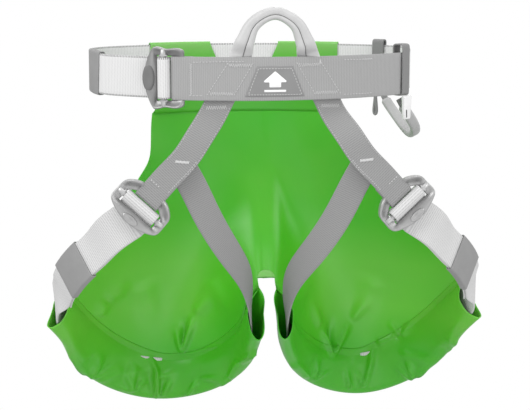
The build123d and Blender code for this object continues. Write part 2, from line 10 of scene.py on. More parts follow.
import bpy
import numpy as np
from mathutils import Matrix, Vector

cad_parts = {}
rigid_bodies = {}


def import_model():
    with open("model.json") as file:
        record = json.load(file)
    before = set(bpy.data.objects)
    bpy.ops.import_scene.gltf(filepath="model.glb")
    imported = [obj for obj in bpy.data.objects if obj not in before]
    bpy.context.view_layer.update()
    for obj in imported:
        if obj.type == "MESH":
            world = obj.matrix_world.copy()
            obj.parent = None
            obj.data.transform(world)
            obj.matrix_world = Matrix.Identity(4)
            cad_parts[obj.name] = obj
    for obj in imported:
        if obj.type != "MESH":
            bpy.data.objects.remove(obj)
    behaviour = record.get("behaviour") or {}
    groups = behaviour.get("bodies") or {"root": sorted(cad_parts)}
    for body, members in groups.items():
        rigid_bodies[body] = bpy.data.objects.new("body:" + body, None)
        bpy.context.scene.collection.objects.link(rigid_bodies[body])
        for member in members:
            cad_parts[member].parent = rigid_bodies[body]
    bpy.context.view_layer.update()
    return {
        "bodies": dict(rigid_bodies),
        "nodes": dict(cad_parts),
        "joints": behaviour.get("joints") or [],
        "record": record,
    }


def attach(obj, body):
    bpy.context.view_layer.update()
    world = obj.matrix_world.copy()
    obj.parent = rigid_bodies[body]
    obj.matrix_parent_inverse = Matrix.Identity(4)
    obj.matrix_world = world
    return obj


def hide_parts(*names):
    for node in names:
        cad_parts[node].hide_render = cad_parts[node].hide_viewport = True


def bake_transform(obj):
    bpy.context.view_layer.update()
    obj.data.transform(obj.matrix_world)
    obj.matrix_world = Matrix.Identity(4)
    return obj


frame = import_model()

MM = 0.001

# ---- driving dimensions, as in the CAD source ----
webbing = 2.0
gap = 0.3
belt_width = 44.0
waist_strap_width = 42.0
leg_strap_width = 40.5
riser_width = 28.0
thigh_width = 29.5
belt_centre_x = -16.0
belt_half_width = 179.0
belt_half_depth = 105.0
belt_rise = 4.0
side_radius = 65.0
front_belt_offset = -1.0
riser_offset = -5.6
waist_strap_offset = -7.4
waist_tail_offset = -9.9
bar_radius = 3.0
bar_height = 4.2
main_level = -3.6
free_end_level = -6.1
sewn_level = 2.8
strap_leaves_at = -26.0
sewn_leaves_at = 32.0
bight_near = 7.9              # where a sewn strap turns round the fixed bar
roll_slack = 0.9

side_centre = belt_half_width - side_radius
long_arc_shift = (side_centre**2 - (belt_half_depth - side_radius) ** 2) / (
    2 * (belt_half_depth - side_radius)
)
long_radius = belt_half_depth + long_arc_shift
joint_angle = math.degrees(math.atan2(long_arc_shift, side_centre))
degrees_per_mm = math.degrees(1 / long_radius)

up = np.array((0.0, 0.0, 1.0))


# ================= geometry helpers =================
def unit(vectors):
    vectors = np.asarray(vectors, float)
    return vectors / np.linalg.norm(vectors, axis=-1, keepdims=True)


def smooth_step(low, high, value):
    share = np.clip((np.asarray(value, float) - low) / (high - low), 0, 1)
    return share * share * (3 - 2 * share)


def cubic(knots, values, at):
    """Natural cubic spline through values at knots, read at the given places."""
    knots, values, at = (np.asarray(x, float) for x in (knots, values, at))
    step = np.diff(knots)
    size = len(knots)
    matrix, right = np.zeros((size, size)), np.zeros_like(values)
    matrix[0, 0] = matrix[-1, -1] = 1
    for k in range(1, size - 1):
        matrix[k, k - 1 : k + 2] = step[k - 1], 2 * (step[k - 1] + step[k]), step[k]
        right[k] = 6 * ((values[k + 1] - values[k]) / step[k] - (values[k] - values[k - 1]) / step[k - 1])
    bend = np.linalg.solve(matrix, right)
    span = np.clip(np.searchsorted(knots, at, side="right") - 1, 0, size - 2)
    width = step[span][:, None]
    a, b = (knots[span + 1] - at)[:, None] / width, (at - knots[span])[:, None] / width
    curve = a * values[span] + b * values[span + 1]
    return curve + ((a**3 - a) * bend[span] + (b**3 - b) * bend[span + 1]) * width * width / 6


def lengths_along(points):
    steps = np.linalg.norm(np.diff(points, axis=0), axis=1)
    return np.concatenate(([0], np.cumsum(steps)))


def even(points, extras, spacing):
    """Points at even steps along a dense line, and other values carried along with them."""
    marks = lengths_along(points)
    count = max(2, int(round(marks[-1] / spacing)) + 1)
    at = np.linspace(0, marks[-1], count)

    def read(values):
        return np.stack([np.interp(at, marks, column) for column in np.asarray(values, float).T], 1)

    return read(points), read(extras)


class Route:
    """A strap's middle line, with its outward and across directions at each station."""

    def __init__(self, points, outward, spacing=2.5, curved=True):
        points, outward = np.asarray(points, float), np.asarray(outward, float)
        if curved:
            knots = lengths_along(points)
            at = np.linspace(0, knots[-1], max(60, int(knots[-1])))
            both = cubic(knots, np.hstack((points, outward)), at)
            points, outward = both[:, :3], both[:, 3:]
        self.points, outward = even(points, outward, spacing)
        self.along = unit(np.gradient(self.points, axis=0))
        lean = (outward * self.along).sum(1, keepdims=True)
        self.outward = unit(outward - lean * self.along)
        self.across = np.cross(self.outward, self.along)
        self.marks = lengths_along(self.points)
        self.length = self.marks[-1]

    def at(self, mark, sideways=0.0, lift=0.0):
        """A point and the outward direction at a length along, a way across and a height."""
        read = [np.array([np.interp(mark, self.marks, c) for c in v.T]) for v in
                (self.points, self.across, self.outward)]
        return read[0] + read[1] * sideways + read[2] * lift, unit(read[2])


def strap_section(width, thickness, steps=10):
    """Outline of a woven strap: flat faces and rounded selvedges, as (across, height)."""
    half, radius = width / 2, thickness / 2
    outline = [(x, radius) for x in np.linspace(-half + radius, half - radius, steps)]
    for angle in (60, 30, 0, -30, -60):
        turn = math.radians(angle)
        outline.append((half - radius + radius * math.cos(turn), radius * math.sin(turn)))
    outline += [(x, -radius) for x in np.linspace(half - radius, -half + radius, steps)]
    for angle in (-60, -30, 0, 30, 60):
        turn = math.radians(angle)
        outline.append((-half + radius - radius * math.cos(turn), radius * math.sin(turn)))
    return np.array(outline)


def rounded_section(width, thickness, radius, steps=5):
    """A rounded rectangle as (across, height)."""
    outline = []
    for corner, (x, y) in enumerate(((1, 1), (1, -1), (-1, -1), (-1, 1))):
        for angle in np.linspace(90 - 90 * corner, -90 * corner, steps):
            turn = math.radians(angle)
            outline.append((x * (width / 2 - radius) + radius * math.cos(turn),
                            y * (thickness / 2 - radius) + radius * math.sin(turn)))
    return np.array(outline)


def swept(route, section):
    """Rings of a section carried along a route; section is one outline, or one per station."""
    sections = np.broadcast_to(section, (len(route.points),) + np.shape(section)[-2:])
    return (route.points[:, None] + route.across[:, None] * sections[..., :1]
            + route.outward[:, None] * sections[..., 1:])


# ================= meshes =================
def new_object(name, vertices, faces, material, uv=None):
    mesh = bpy.data.meshes.new(name)
    mesh.from_pydata((np.asarray(vertices).reshape(-1, 3) * MM).tolist(), [], [list(f) for f in faces])
    if uv is not None:
        corner = np.zeros(len(mesh.loops), np.int32)
        mesh.loops.foreach_get("vertex_index", corner)
        layer = mesh.uv_layers.new(name="weave")
        layer.data.foreach_set("uv", (np.asarray(uv).reshape(-1, 2)[corner]).ravel())
    mesh.polygons.foreach_set("use_smooth", [True] * len(mesh.polygons))
    mesh.materials.append(material)
    piece = bpy.data.objects.new(name, mesh)
    bpy.context.collection.objects.link(piece)
    return piece


def grid_faces(rows, columns, start=0, closed=False):
    """Quads over a grid of points; closed joins the last column to the first."""
    faces = []
    for row in range(rows - 1):
        for column in range(columns if closed else columns - 1):
            beside = (column + 1) % columns
            low, high = start + row * columns, start + (row + 1) * columns
            faces.append((low + column, low + beside, high + beside, high + column))
    return faces


def tube_faces(count, size, looped=False):
    """Quads round a run of rings, with flat ends or with the last ring joined to the first."""
    last = (count - 1) * size
    faces = grid_faces(count, size, closed=True)
    if looped:
        return faces + [(last + k, last + (k + 1) % size, (k + 1) % size, k) for k in range(size)]
    return faces + [tuple(range(size))[::-1], tuple(range(last, last + size))]


def finish_piece(piece, body, replaces=()):
    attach(piece, body)
    if replaces:
        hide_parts(*replaces)
    return piece


def strap_mesh(name, route, width, material, thickness=webbing, closed=False):
    section = strap_section(width, thickness)
    rings = swept(route, section)
    count, size = rings.shape[:2]
    uv = np.zeros((count, size, 2))
    uv[..., 0] = route.marks[:, None]
    uv[..., 1] = section[:, 0]
    return new_object(name, rings, tube_faces(count, size, closed), material, uv)


def settle(piece, *modifiers):
    """Adds modifiers given as (type, settings) and applies them all to the mesh."""
    for kind, settings in modifiers:
        modifier = piece.modifiers.new(kind.lower(), kind)
        for key, value in settings.items():
            setattr(modifier, key, value)
    graph = bpy.context.evaluated_depsgraph_get()
    mesh = bpy.data.meshes.new_from_object(piece.evaluated_get(graph))
    old = piece.data
    piece.modifiers.clear()
    piece.data = mesh
    bpy.data.meshes.remove(old)
    mesh.name = piece.name
    mesh.polygons.foreach_set("use_smooth", [True] * len(mesh.polygons))
    return piece


def joined(name, objects):
    """One object out of several, keeping their material."""
    vertices, faces, uv, start = [], [], [], 0
    for o in objects:
        vertices += [v.co / MM for v in o.data.vertices]
        faces += [tuple(start + k for k in p.vertices) for p in o.data.polygons]
        start += len(o.data.vertices)
    made = new_object(name, vertices, faces, objects[0].data.materials[0])
    for o in objects:
        bpy.data.objects.remove(o)
    return made


# ================= the waist oval =================
def oval_arc(normal):
    turn = normal % 360
    if turn < joint_angle or turn > 360 - joint_angle:
        return (belt_centre_x + side_centre, 0.0), side_radius
    if abs(turn - 180) < joint_angle:
        return (belt_centre_x - side_centre, 0.0), side_radius
    shift = -long_arc_shift if turn < 180 else long_arc_shift
    return (belt_centre_x, shift), long_radius


def oval_ray(normal):
    return np.array((math.cos(math.radians(normal)), math.sin(math.radians(normal)), 0.0))


def oval_point(normal, offset, z=0.0):
    (x, y), radius = oval_arc(normal)
    return np.array((x, y, z)) + oval_ray(normal) * (radius + offset)


def back_lift(normal):
    """The belt rides a little higher round the back than in front."""
    return belt_rise * float(smooth_step(-1.0, 0.2, math.sin(math.radians(normal))))


def oval_normal_at(x, front=True):
    angle = math.degrees(math.acos((x - belt_centre_x) / long_radius))
    return 360 - angle if front else angle


def belt_line(start, end, offset, z=0.0):
    """Points and outward directions round the oval between two normals, in fine steps."""
    normals = np.linspace(start, end, int(abs(end - start) * 2) + 2)
    return [oval_point(n, offset, z + back_lift(n)) for n in normals], [oval_ray(n) for n in normals]


# ================= buckle places =================
class Place:
    """A buckle's frame: x towards the sewn strap, y along the bar, z outward."""

    def __init__(self, origin, pull, out):
        self.origin = np.array(origin, float)
        self.x = unit(pull)
        out = np.array(out, float)
        self.z = unit(out - self.x * (out @ self.x))
        self.y = np.cross(self.z, self.x)

    def point(self, x, y, z):
        return self.origin + self.x * x + self.y * y + self.z * z

    def line(self, profile):
        """A strap's side view (x, z) as points and outward directions."""
        profile = np.array(profile, float)
        along = np.gradient(profile, axis=0)
        points = [self.point(x, 0, z) for x, z in profile]
        outward = [unit(self.x * -dz + self.z * dx) for dx, dz in along]
        return points, outward


waist_buckle_normal = 247.4
turn = math.radians(waist_buckle_normal)
waist_place = Place(oval_point(waist_buckle_normal, -3.8), (-math.sin(turn), math.cos(turn), 0),
                    oval_ray(waist_buckle_normal))


def waist_line(profile):
    """A strap's side view at the waist buckle, bent to the belt's curve."""
    points = [oval_point(waist_buckle_normal + x * degrees_per_mm, -3.8 + z) for x, z in profile]
    along = np.gradient(np.array(profile, float), axis=0)
    outward = [unit(waist_place.x * -dz + waist_place.z * dx) for dx, dz in along]
    return points, outward


def leg_place(side):
    return Place((side * 136, -101.5, -129), (side * -0.67, 0, 0.74), (side * 0.12, -1, 0.05))


def bend(corners, radius, steps=6):
    """A line through corners, each rounded to a radius."""
    corners = [np.array(c, float) for c in corners]
    line = [corners[0]]
    for before, corner, after in zip(corners, corners[1:], corners[2:]):
        a, b = unit(before - corner), unit(after - corner)
        half = math.acos(np.clip(a @ b, -1, 1)) / 2
        reach = min(radius / math.tan(half), 0.49 * np.linalg.norm(before - corner),
                    0.49 * np.linalg.norm(after - corner))
        first, last = corner + a * reach, corner + b * reach
        for share in np.linspace(0, 1, steps):
            line.append((1 - share) ** 2 * first + 2 * share * (1 - share) * corner + share**2 * last)
    line.append(corners[-1])
    return line


lip_end = -19.0


def roll_profile(leaves=strap_leaves_at):
    """The adjustable strap's side view: in under the lip, over the bar and out again."""
    middle = bar_radius + gap + roll_slack + webbing / 2
    over = [(-middle * math.cos(t), bar_height + middle * math.sin(t)) for t in np.linspace(0, math.pi, 17)]
    inward = bend([(leaves, main_level), (-middle, main_level), (-middle, bar_height)], 3)
    back = bend([(middle, bar_height), (middle, free_end_level), (leaves, free_end_level)], 3)
    return inward[:-1] + over + back[1:]


def bight_profile(far):
    """The sewn strap's side view, round the fixed bar of the plate."""
    return bend([(far, sewn_level), (bight_near, sewn_level), (bight_near, -sewn_level),
                 (far, -sewn_level)], 2.4)


# ================= legs: (outboard, y, z, facing) stops, as in the CAD source =================
thigh_stops = [(98, -96.5, -82, -90), (82, -93.5, -112, -85), (70, -89, -138, -78), (43, -68, -187, -58),
               (25, -38, -220, -34), (17, -14, -250, -14)]
inner_mouth = (17, 8, -285, 5)
under_stops = [(32, 52, -328, 35), (70, 87, -362, 65), (119, 98, -373, 90), (168, 86, -355, 115),
               (205, 50, -314, 148)]
outer_mouth = (221, 6, -272, 176)
strap_mouth = (228, 4, -262, 176)
above_mouth = (230, -25, -242, 195)
below_buckle = (169, -94.5, -158, 241)
lap_end = (119, 97.5, -368, 90)
arc_foot = (222.0, -45.0, -226.0, 207)
keeper_arc = 100.0
keeper_stop = (209.5, -68.0, -203.0, 219.0)
keeper_along = (-0.492, -0.527, 0.693)


# The right leg hangs a little further from the middle than the left: added outboard at the tunnel's
# mouth, at the stop below it and at the stops underneath.
leg_shift = {-1: (0, 0, 0, 0, 0, 0, 0), 1: (0, 6.0, 13.0, 14.0, 8.0, 2.0, 0)}


def shifted(side, stops, first):
    return [(x + leg_shift[side][first + k], *rest) for k, (x, *rest) in enumerate(stops)]


def facing(side, angle):
    return np.array((-side * math.cos(math.radians(angle)), math.sin(math.radians(angle)), 0.0))


def leg_line(side, stops, count):
    """Points and outward directions on a smooth line through leg stops."""
    stops = np.array(stops, float)
    places = stops[:, :3] * (side, 1, 1)
    knots = lengths_along(places)
    at = np.linspace(0, knots[-1], count)
    points = cubic(knots, places, at)
    turns = np.interp(at, knots, stops[:, 3])
    return list(points), [facing(side, t) for t in turns]


def keeper_axes(side):
    x, y, z, angle = keeper_stop
    along = unit((side * keeper_along[0], keeper_along[1], keeper_along[2]))
    outward = facing(side, angle)
    outward = unit(outward - along * (outward @ along))
    return np.array((side * x, y, z)), along, outward


def keeper_station(side, angle, height=0.0):
    """A point on the leg strap's even bend, with its outward direction."""
    origin, along, outward = keeper_axes(side)
    centre = origin - outward * keeper_arc
    swing = math.radians(angle)
    radial = outward * math.cos(swing) + along * math.sin(swing)
    return centre + radial * (keeper_arc + height), radial


# ================= materials =================
def srgb(value):
    """A grey or colour given as 0-255 display values, as the linear colour it stands for."""
    values = np.atleast_1d(np.array(value, float)) / 255
    linear = np.where(values <= 0.04045, values / 12.92, ((values + 0.055) / 1.055) ** 2.4)
    if len(linear) == 1:
        linear = np.repeat(linear, 3)
    return tuple(linear) + (1.0,)


class Shader:
    """Short ways to make and join shader nodes."""

    def __init__(self, name, **settings):
        self.material = bpy.data.materials.new(name)
        self.material.use_nodes = True
        self.tree = self.material.node_tree
        self.surface = self.tree.nodes["Principled BSDF"]
        for key, value in settings.items():
            self.surface.inputs[key.replace("_", " ")].default_value = value

    def node(self, kind, operation=None, **inputs):
        made = self.tree.nodes.new("ShaderNode" + kind)
        if operation:
            made.operation = operation
        for key, value in inputs.items():
            slot = int(key[1:]) if key[0] == "n" and key[1:].isdigit() else key.replace("_", " ")
            if isinstance(value, bpy.types.NodeSocket):
                self.tree.links.new(value, made.inputs[slot])
            else:
                made.inputs[slot].default_value = value
        return made

    def math(self, operation, first, second=0.0):
        return self.node("Math", operation, n0=first, n1=second).outputs[0]

    def noise(self, vector, scale, detail=3.0, roughness=0.5):
        return self.node("TexNoise", Vector=vector, Scale=scale, Detail=detail,
                         Roughness=roughness).outputs["Fac"]

    def ramp(self, value, *stops):
        """Colours at places between 0 and 1."""
        made = self.node("ValToRGB", Fac=value)
        band = made.color_ramp
        while len(band.elements) < len(stops):
            band.elements.new(0.5)
        for element, (place, colour) in zip(band.elements, stops):
            element.position = place
            element.color = colour
        return made.outputs["Color"]

    def mix(self, share, first, second):
        made = self.tree.nodes.new("ShaderNodeMix")
        made.data_type = "RGBA"
        for slot, value in (("Factor", share), ("A", first), ("B", second)):
            sockets = [s for s in made.inputs if s.name == slot and s.enabled]
            socket = sockets[-1] if slot != "Factor" else sockets[0]
            if isinstance(value, bpy.types.NodeSocket):
                self.tree.links.new(value, socket)
            else:
                socket.default_value = value
        return [s for s in made.outputs if s.enabled][0]

    def object_place(self):
        return self.tree.nodes.new("ShaderNodeTexCoord").outputs["Object"]

    def woven_place(self):
        """Millimetres along and across a strap, from its own map."""
        made = self.tree.nodes.new("ShaderNodeUVMap")
        made.uv_map = "weave"
        parts = self.node("SeparateXYZ", Vector=made.outputs["UV"])
        return made.outputs["UV"], parts.outputs["X"], parts.outputs["Y"]

    def wave(self, place, pitch):
        """A sine from 0 to 1 that repeats every pitch millimetres."""
        turns = self.math("MULTIPLY", place, 2 * math.pi / pitch)
        return self.math("ADD", self.math("MULTIPLY", self.math("SINE", turns), 0.5), 0.5)

    def colour(self, socket):
        self.tree.links.new(socket, self.surface.inputs["Base Color"])

    def rough(self, socket):
        self.tree.links.new(socket, self.surface.inputs["Roughness"])

    def bump(self, height, depth_mm, strength=1.0):
        made = self.node("Bump", Height=height, Strength=strength, Distance=depth_mm * MM)
        self.tree.links.new(made.outputs["Normal"], self.surface.inputs["Normal"])


def scaled(colour, factor):
    return tuple(min(1.0, c * factor) for c in colour[:3]) + (1.0,)


def mask(value):
    """The same share in red, green and blue."""
    return (value, value, value, 1)


def webbing_material(name, tone, pitch, half_width, edge=None, rib_depth=0.24, contrast=0.16,
                     rim_width=1.15):
    """Woven polyester: ribs across the strap, finer warp lines along it, and a firm selvedge."""
    made = Shader(name, Roughness=0.82, Sheen_Weight=0.06, Sheen_Roughness=0.5, Specular_IOR_Level=0.2)
    place, along, across = made.woven_place()
    ribs = made.wave(along, pitch)
    warp = made.wave(across, 1.1)
    skew = made.wave(made.math("ADD", along, across), pitch * 2)
    fibre = made.noise(place, 1.7, 2.0)
    height = made.math("ADD", made.math("MULTIPLY", ribs, 0.7), made.math("MULTIPLY", warp, 0.22))
    height = made.math("ADD", height, made.math("MULTIPLY", skew, 0.12))
    height = made.math("ADD", height, made.math("MULTIPLY", fibre, 0.18))
    shade = made.ramp(height, (0.1, scaled(tone, 1 - contrast)), (0.6, tone), (1.0, scaled(tone, 1.05)))
    patches = made.noise(place, 0.05, 3.0)
    shade = made.mix(made.math("MULTIPLY", patches, 0.35), shade, scaled(tone, 0.93))
    rim = made.math("GREATER_THAN", made.math("ABSOLUTE", across), half_width - rim_width)
    if edge is not None:
        dashes = made.math("GREATER_THAN", made.wave(along, 1.9), 0.38)
        shade = made.mix(made.math("MULTIPLY", rim, made.math("MULTIPLY", dashes, 0.8)), shade, edge)
    else:
        shade = made.mix(made.math("MULTIPLY", rim, 0.5), shade, scaled(tone, 0.86))
    made.colour(shade)
    made.bump(height, rib_depth)
    return made.material


def thread_material(name, tone):
    made = Shader(name, Roughness=0.6, Sheen_Weight=0.2)
    twist = made.noise(made.object_place(), 2500.0, 1.0)
    made.colour(made.ramp(twist, (0.3, scaled(tone, 0.9)), (0.7, tone)))
    made.bump(twist, 0.05)
    return made.material


def vinyl_material(name, tone, light, deep):
    """Coated sheet: smooth sheen, faint fabric print-through, paler flap tops and painted light on the legs.
    """
    made = Shader(name, Roughness=0.38, Specular_IOR_Level=0.42, Coat_Weight=0.12, Coat_Roughness=0.3,
                  Subsurface_Weight=0.25, Subsurface_Radius=(0.25, 1.0, 0.25),
                  Subsurface_Scale=0.003)
    place = made.object_place()
    broad = made.noise(place, 9.0, 2.0)
    fine = made.noise(place, 60.0, 4.0, 0.6)
    grain = made.noise(place, 900.0, 2.0)
    shade = made.ramp(broad, (0.3, deep), (0.55, tone), (0.8, light))
    shade = made.mix(made.math("MULTIPLY", fine, 0.18), shade, light)
    parts = made.node("SeparateXYZ", Vector=place)
    across, height = parts.outputs["X"], parts.outputs["Z"]
    # The colour is made paler towards the tops of the belt flaps, from about 2.5 mm to 22.5 mm up.
    paler_flap_top = made.ramp(made.math("MULTIPLY", height, 40.0), (0.1, mask(0)), (0.9, mask(0.62)))
    shade = made.mix(paler_flap_top, shade, srgb((140, 196, 112)))
    # Painted light: low on the leg panels, away from the middle, the colour is made paler to lift the shade
    # that falls in the hammock's hollow.
    painted_leg_light = made.ramp(made.math("MULTIPLY", height, -2.5), (0.44, mask(0)), (0.58, mask(0.5)),
                          (0.72, mask(0.5)), (0.84, mask(0)))
    square = made.math("MULTIPLY", made.math("MULTIPLY", across, across), 100.0)
    legs_only = made.ramp(square, (0.14, mask(0)), (0.55, mask(1)))
    shade = made.mix(made.math("MULTIPLY", painted_leg_light, legs_only), shade, srgb((122, 196, 66)))
    made.colour(shade)
    made.rough(made.ramp(fine, (0.2, srgb(150)), (0.8, srgb(175))))
    height = made.math("ADD", made.math("MULTIPLY", grain, 0.25), made.math("MULTIPLY", fine, 0.8))
    made.bump(height, 0.12, 0.6)
    return made.material


def metal_material(name, tone, roughness=0.34, metallic=0.85):
    """Satin alloy with a fine directional brush and rubbed edges."""
    made = Shader(name, Metallic=metallic, Specular_IOR_Level=0.5)
    place = made.object_place()
    brushed = made.noise(made.node("Mapping", Vector=place, Scale=(1500, 300, 1500)).outputs[0], 1.0, 2.0)
    cloud = made.noise(place, 90.0, 3.0)
    shade = made.ramp(cloud, (0.3, scaled(tone, 0.92)), (0.7, scaled(tone, 1.05)))
    edge = made.node("NewGeometry").outputs["Pointiness"]
    shade = made.mix(made.ramp(edge, (0.52, mask(0)), (0.6, mask(0.6))), shade, scaled(tone, 1.3))
    made.colour(shade)
    low, high = roughness * 0.85, roughness * 1.2
    made.rough(made.ramp(brushed, (0.3, mask(low)), (0.7, mask(high))))
    made.bump(brushed, 0.02, 0.4)
    return made.material


def moulded_material(name, tone, roughness=0.45, coat=0.0, grain=0.06):
    """Moulded plastic or rubber with a fine texture."""
    made = Shader(name, Specular_IOR_Level=0.4, Coat_Weight=coat, Coat_Roughness=0.15)
    place = made.object_place()
    cloud = made.noise(place, 70.0, 3.0)
    fine = made.noise(place, 1400.0, 2.0)
    made.colour(made.ramp(cloud, (0.25, scaled(tone, 0.94)), (0.75, scaled(tone, 1.04))))
    low, high = roughness * 0.9, roughness * 1.12
    made.rough(made.ramp(cloud, (0.3, mask(low)), (0.7, mask(high))))
    made.bump(fine, grain)
    return made.material


def dress(node, material):
    """Gives a CAD node that stays its material."""
    piece = frame["nodes"][node]
    if not piece.material_slots:
        piece.data.materials.append(material)
    for slot in piece.material_slots:
        slot.material = material


front_webbing = webbing_material("front_webbing", srgb(168), 1.85, belt_width / 2, contrast=0.26)
riser_webbing = webbing_material("riser_webbing", srgb(154), 2.1, riser_width / 2, contrast=0.34)
pale_waist = webbing_material("pale_waist_webbing", srgb(226), 2.0, waist_strap_width / 2, srgb(112),
                              contrast=0.28, rim_width=1.9)
pale_leg = webbing_material("pale_leg_webbing", srgb(212), 2.2, leg_strap_width / 2, contrast=0.34)
dark_tape = webbing_material("dark_tape", srgb(138), 1.2, 7.0)
tack_thread = thread_material("tack_thread", srgb(204))
pale_thread = thread_material("pale_thread", srgb(214))
green_vinyl = vinyl_material("green_vinyl", srgb((72, 176, 30)), srgb((86, 181, 42)), srgb((64, 172, 34)))
pale_vinyl = vinyl_material("pale_vinyl", srgb((116, 188, 88)), srgb((124, 192, 96)), srgb((110, 184, 80)))
leg_metal = metal_material("leg_metal", srgb(174), 0.42, 0.55)
waist_metal = metal_material("waist_metal", srgb(156), 0.42, 0.7)
thumb_rubber = moulded_material("thumb_rubber", srgb(118), 0.6)
bar_metal = metal_material("bar_metal", srgb(196), 0.4, 0.5)
sheath_plastic = moulded_material("sheath_plastic", srgb(199), 0.4)
seam_dark = moulded_material("seam_dark", srgb(110), 0.7)
elastic_cloth = moulded_material("elastic_cloth", srgb(146), 0.7)
patch_cloth = moulded_material("patch_cloth", srgb(141), 0.62, grain=0.1)
print_white = moulded_material("print_white", srgb(252), 0.5)
gear_plastic = moulded_material("gear_plastic", srgb(178), 0.4)
tag_plastic = moulded_material("tag_plastic", srgb(238), 0.2, coat=0.5)
# Painted shade: the dark grey of the plate that stands for the shade inside the tag's slot.
painted_slot_shade = moulded_material("painted_slot_shade", srgb(90), 0.6)
dress("front_belt_lining", moulded_material("lining_cloth", srgb(150), 0.8, grain=0.1))
dress("tie_in_loop_tails", moulded_material("loop_tape", srgb(158), 0.8, grain=0.1))


# ================= camera and light ========================
camera_azimuth, camera_elevation = -5.0, 10.2
camera_distance = 1430.0
camera_target = (-1.0, 0.0, -147.0)
camera_focal_px, frame_width = 1300.0, 530.0
sensor = 36.0
sky_light = 0.68
# Name, azimuth and elevation in degrees, size in metres and power in watts.
lamps = (("key", -56, 38, 1.1, 15.6), ("fill", 58, 28, 1.4, 11.0), ("top", 0, 86, 1.2, 6.5),
         ("low", 8, -22, 1.8, 7.0), ("back", 165, 35, 1.2, 6))


def look_from(azimuth, elevation):
    a, e = math.radians(azimuth), math.radians(elevation)
    return Vector((math.sin(a) * math.cos(e), -math.cos(a) * math.cos(e), math.sin(e)))


def make_camera():
    camera = bpy.data.objects.new("camera", bpy.data.cameras.new("camera"))
    bpy.context.collection.objects.link(camera)
    back = look_from(camera_azimuth, camera_elevation)
    camera.location = (Vector(camera_target) + back * camera_distance) * MM
    camera.rotation_mode = "QUATERNION"
    camera.rotation_quaternion = (-back).to_track_quat("-Z", "Y")
    camera.data.sensor_width = sensor
    camera.data.lens = sensor * camera_focal_px / frame_width
    camera.data.clip_end = 50
    bpy.context.scene.camera = camera


def soft_light(name, azimuth, elevation, size, power, distance=1.9):
    light = bpy.data.lights.new(name, "AREA")
    light.shape, light.size, light.energy = "DISK", size, power
    lamp = bpy.data.objects.new(name, light)
    back = look_from(azimuth, elevation)
    lamp.location = Vector(camera_target) * MM + back * distance
    lamp.rotation_mode = "QUATERNION"
    lamp.rotation_quaternion = (-back).to_track_quat("-Z", "Y")
    bpy.context.collection.objects.link(lamp)


def make_studio():
    world = bpy.data.worlds.new("studio")
    world.use_nodes = True
    sky = world.node_tree.nodes["Background"]
    sky.inputs["Color"].default_value = (1, 1, 1, 1)
    rays = world.node_tree.nodes.new("ShaderNodeLightPath")
    strength = world.node_tree.nodes.new("ShaderNodeMapRange")
    strength.inputs["To Min"].default_value = sky_light
    strength.inputs["To Max"].default_value = 1.0
    world.node_tree.links.new(rays.outputs["Is Camera Ray"], strength.inputs["Value"])
    world.node_tree.links.new(strength.outputs["Result"], sky.inputs["Strength"])
    bpy.context.scene.world = world
    bpy.context.scene.view_settings.view_transform = "Standard"
    for lamp in lamps:
        soft_light(*lamp)


make_camera()
make_studio()


# ================= straps =================
front_belt_end = 309.0
belt_far = sewn_leaves_at - 2


def smooth_line(points, outward, step=2.0):
    """A cubic through coarse stations, as a dense line."""
    points, outward = np.array(points, float), np.array(outward, float)
    knots = lengths_along(points)
    both = cubic(knots, np.hstack((points, outward)), np.linspace(0, knots[-1], int(knots[-1] / step)))
    return list(both[:, :3]), list(both[:, 3:])


def strung(*parts):
    """One route from several (points, outward) lines that follow each other."""
    points, outward = [], []
    for part_points, part_outward in parts:
        skip = 1 if points and np.linalg.norm(np.array(part_points[0]) - points[-1]) < 0.3 else 0
        points += list(part_points)[skip:]
        outward += list(part_outward)[skip:]
    return Route(points, outward, spacing=2.0, curved=False)


def flipped(line):
    return line[0], [-np.array(o) for o in line[1]]


def front_belt_route():
    bight = waist_line(bight_profile(belt_far)[::-1])
    start = waist_buckle_normal + belt_far * degrees_per_mm
    return strung(bight, belt_line(start, front_belt_end, front_belt_offset))


def waist_strap_route():
    start, end = 290.0 - 360.0, waist_buckle_normal + strap_leaves_at * degrees_per_mm
    round_back = belt_line(start, end, waist_strap_offset)
    tail = flipped(belt_line(end, 184.0, waist_tail_offset))
    return strung(round_back, waist_line(roll_profile()), tail)


def riser_route(side):
    place = leg_place(side)
    points, outward = [], []
    for reach, z in ((41, 7.5), (45.5, -2), (55, -20), (62.5, -35)):
        normal = oval_normal_at(side * reach)
        points.append(oval_point(normal, riser_offset, z))
        outward.append(oval_ray(normal))
    points += [(side * 76, -99, -58), (side * 91, -102.5, -80)]
    outward += [(side * 0.1, -1, 0), (0, -1, 0)]
    for reach in (sewn_leaves_at + 6, sewn_leaves_at):
        points.append(place.point(reach, 0, sewn_level))
        outward.append(place.z)
    return strung(smooth_line(points, outward), flipped(place.line(bight_profile(sewn_leaves_at))))


# Each thigh strap's shift outboard, its share at the stops above and inside the tunnel, and how
# far below the tunnel's own line the strap lies inside it.
thigh_shift = {-1: 2.0, 1: 7.0}
shares_above, shares_inside = (0, 0, 0, 0, 0.3, 0.75), (0.25, 0, 0, 0)
drops_inside = (1.0, 5.0, 5.0, 2.0)


def thigh_route(side):
    tunnel_stops = shifted(side, [inner_mouth] + under_stops[:3], 1)
    above = [(x + thigh_shift[side] * share, *rest)
             for (x, *rest), share in zip(thigh_stops, shares_above)]
    inside = [(x + thigh_shift[side] * share, y, z - drop, angle)
              for (x, y, z, angle), share, drop in zip(tunnel_stops, shares_inside, drops_inside)]
    return Route(*leg_line(side, above + inside, 160), curved=False)


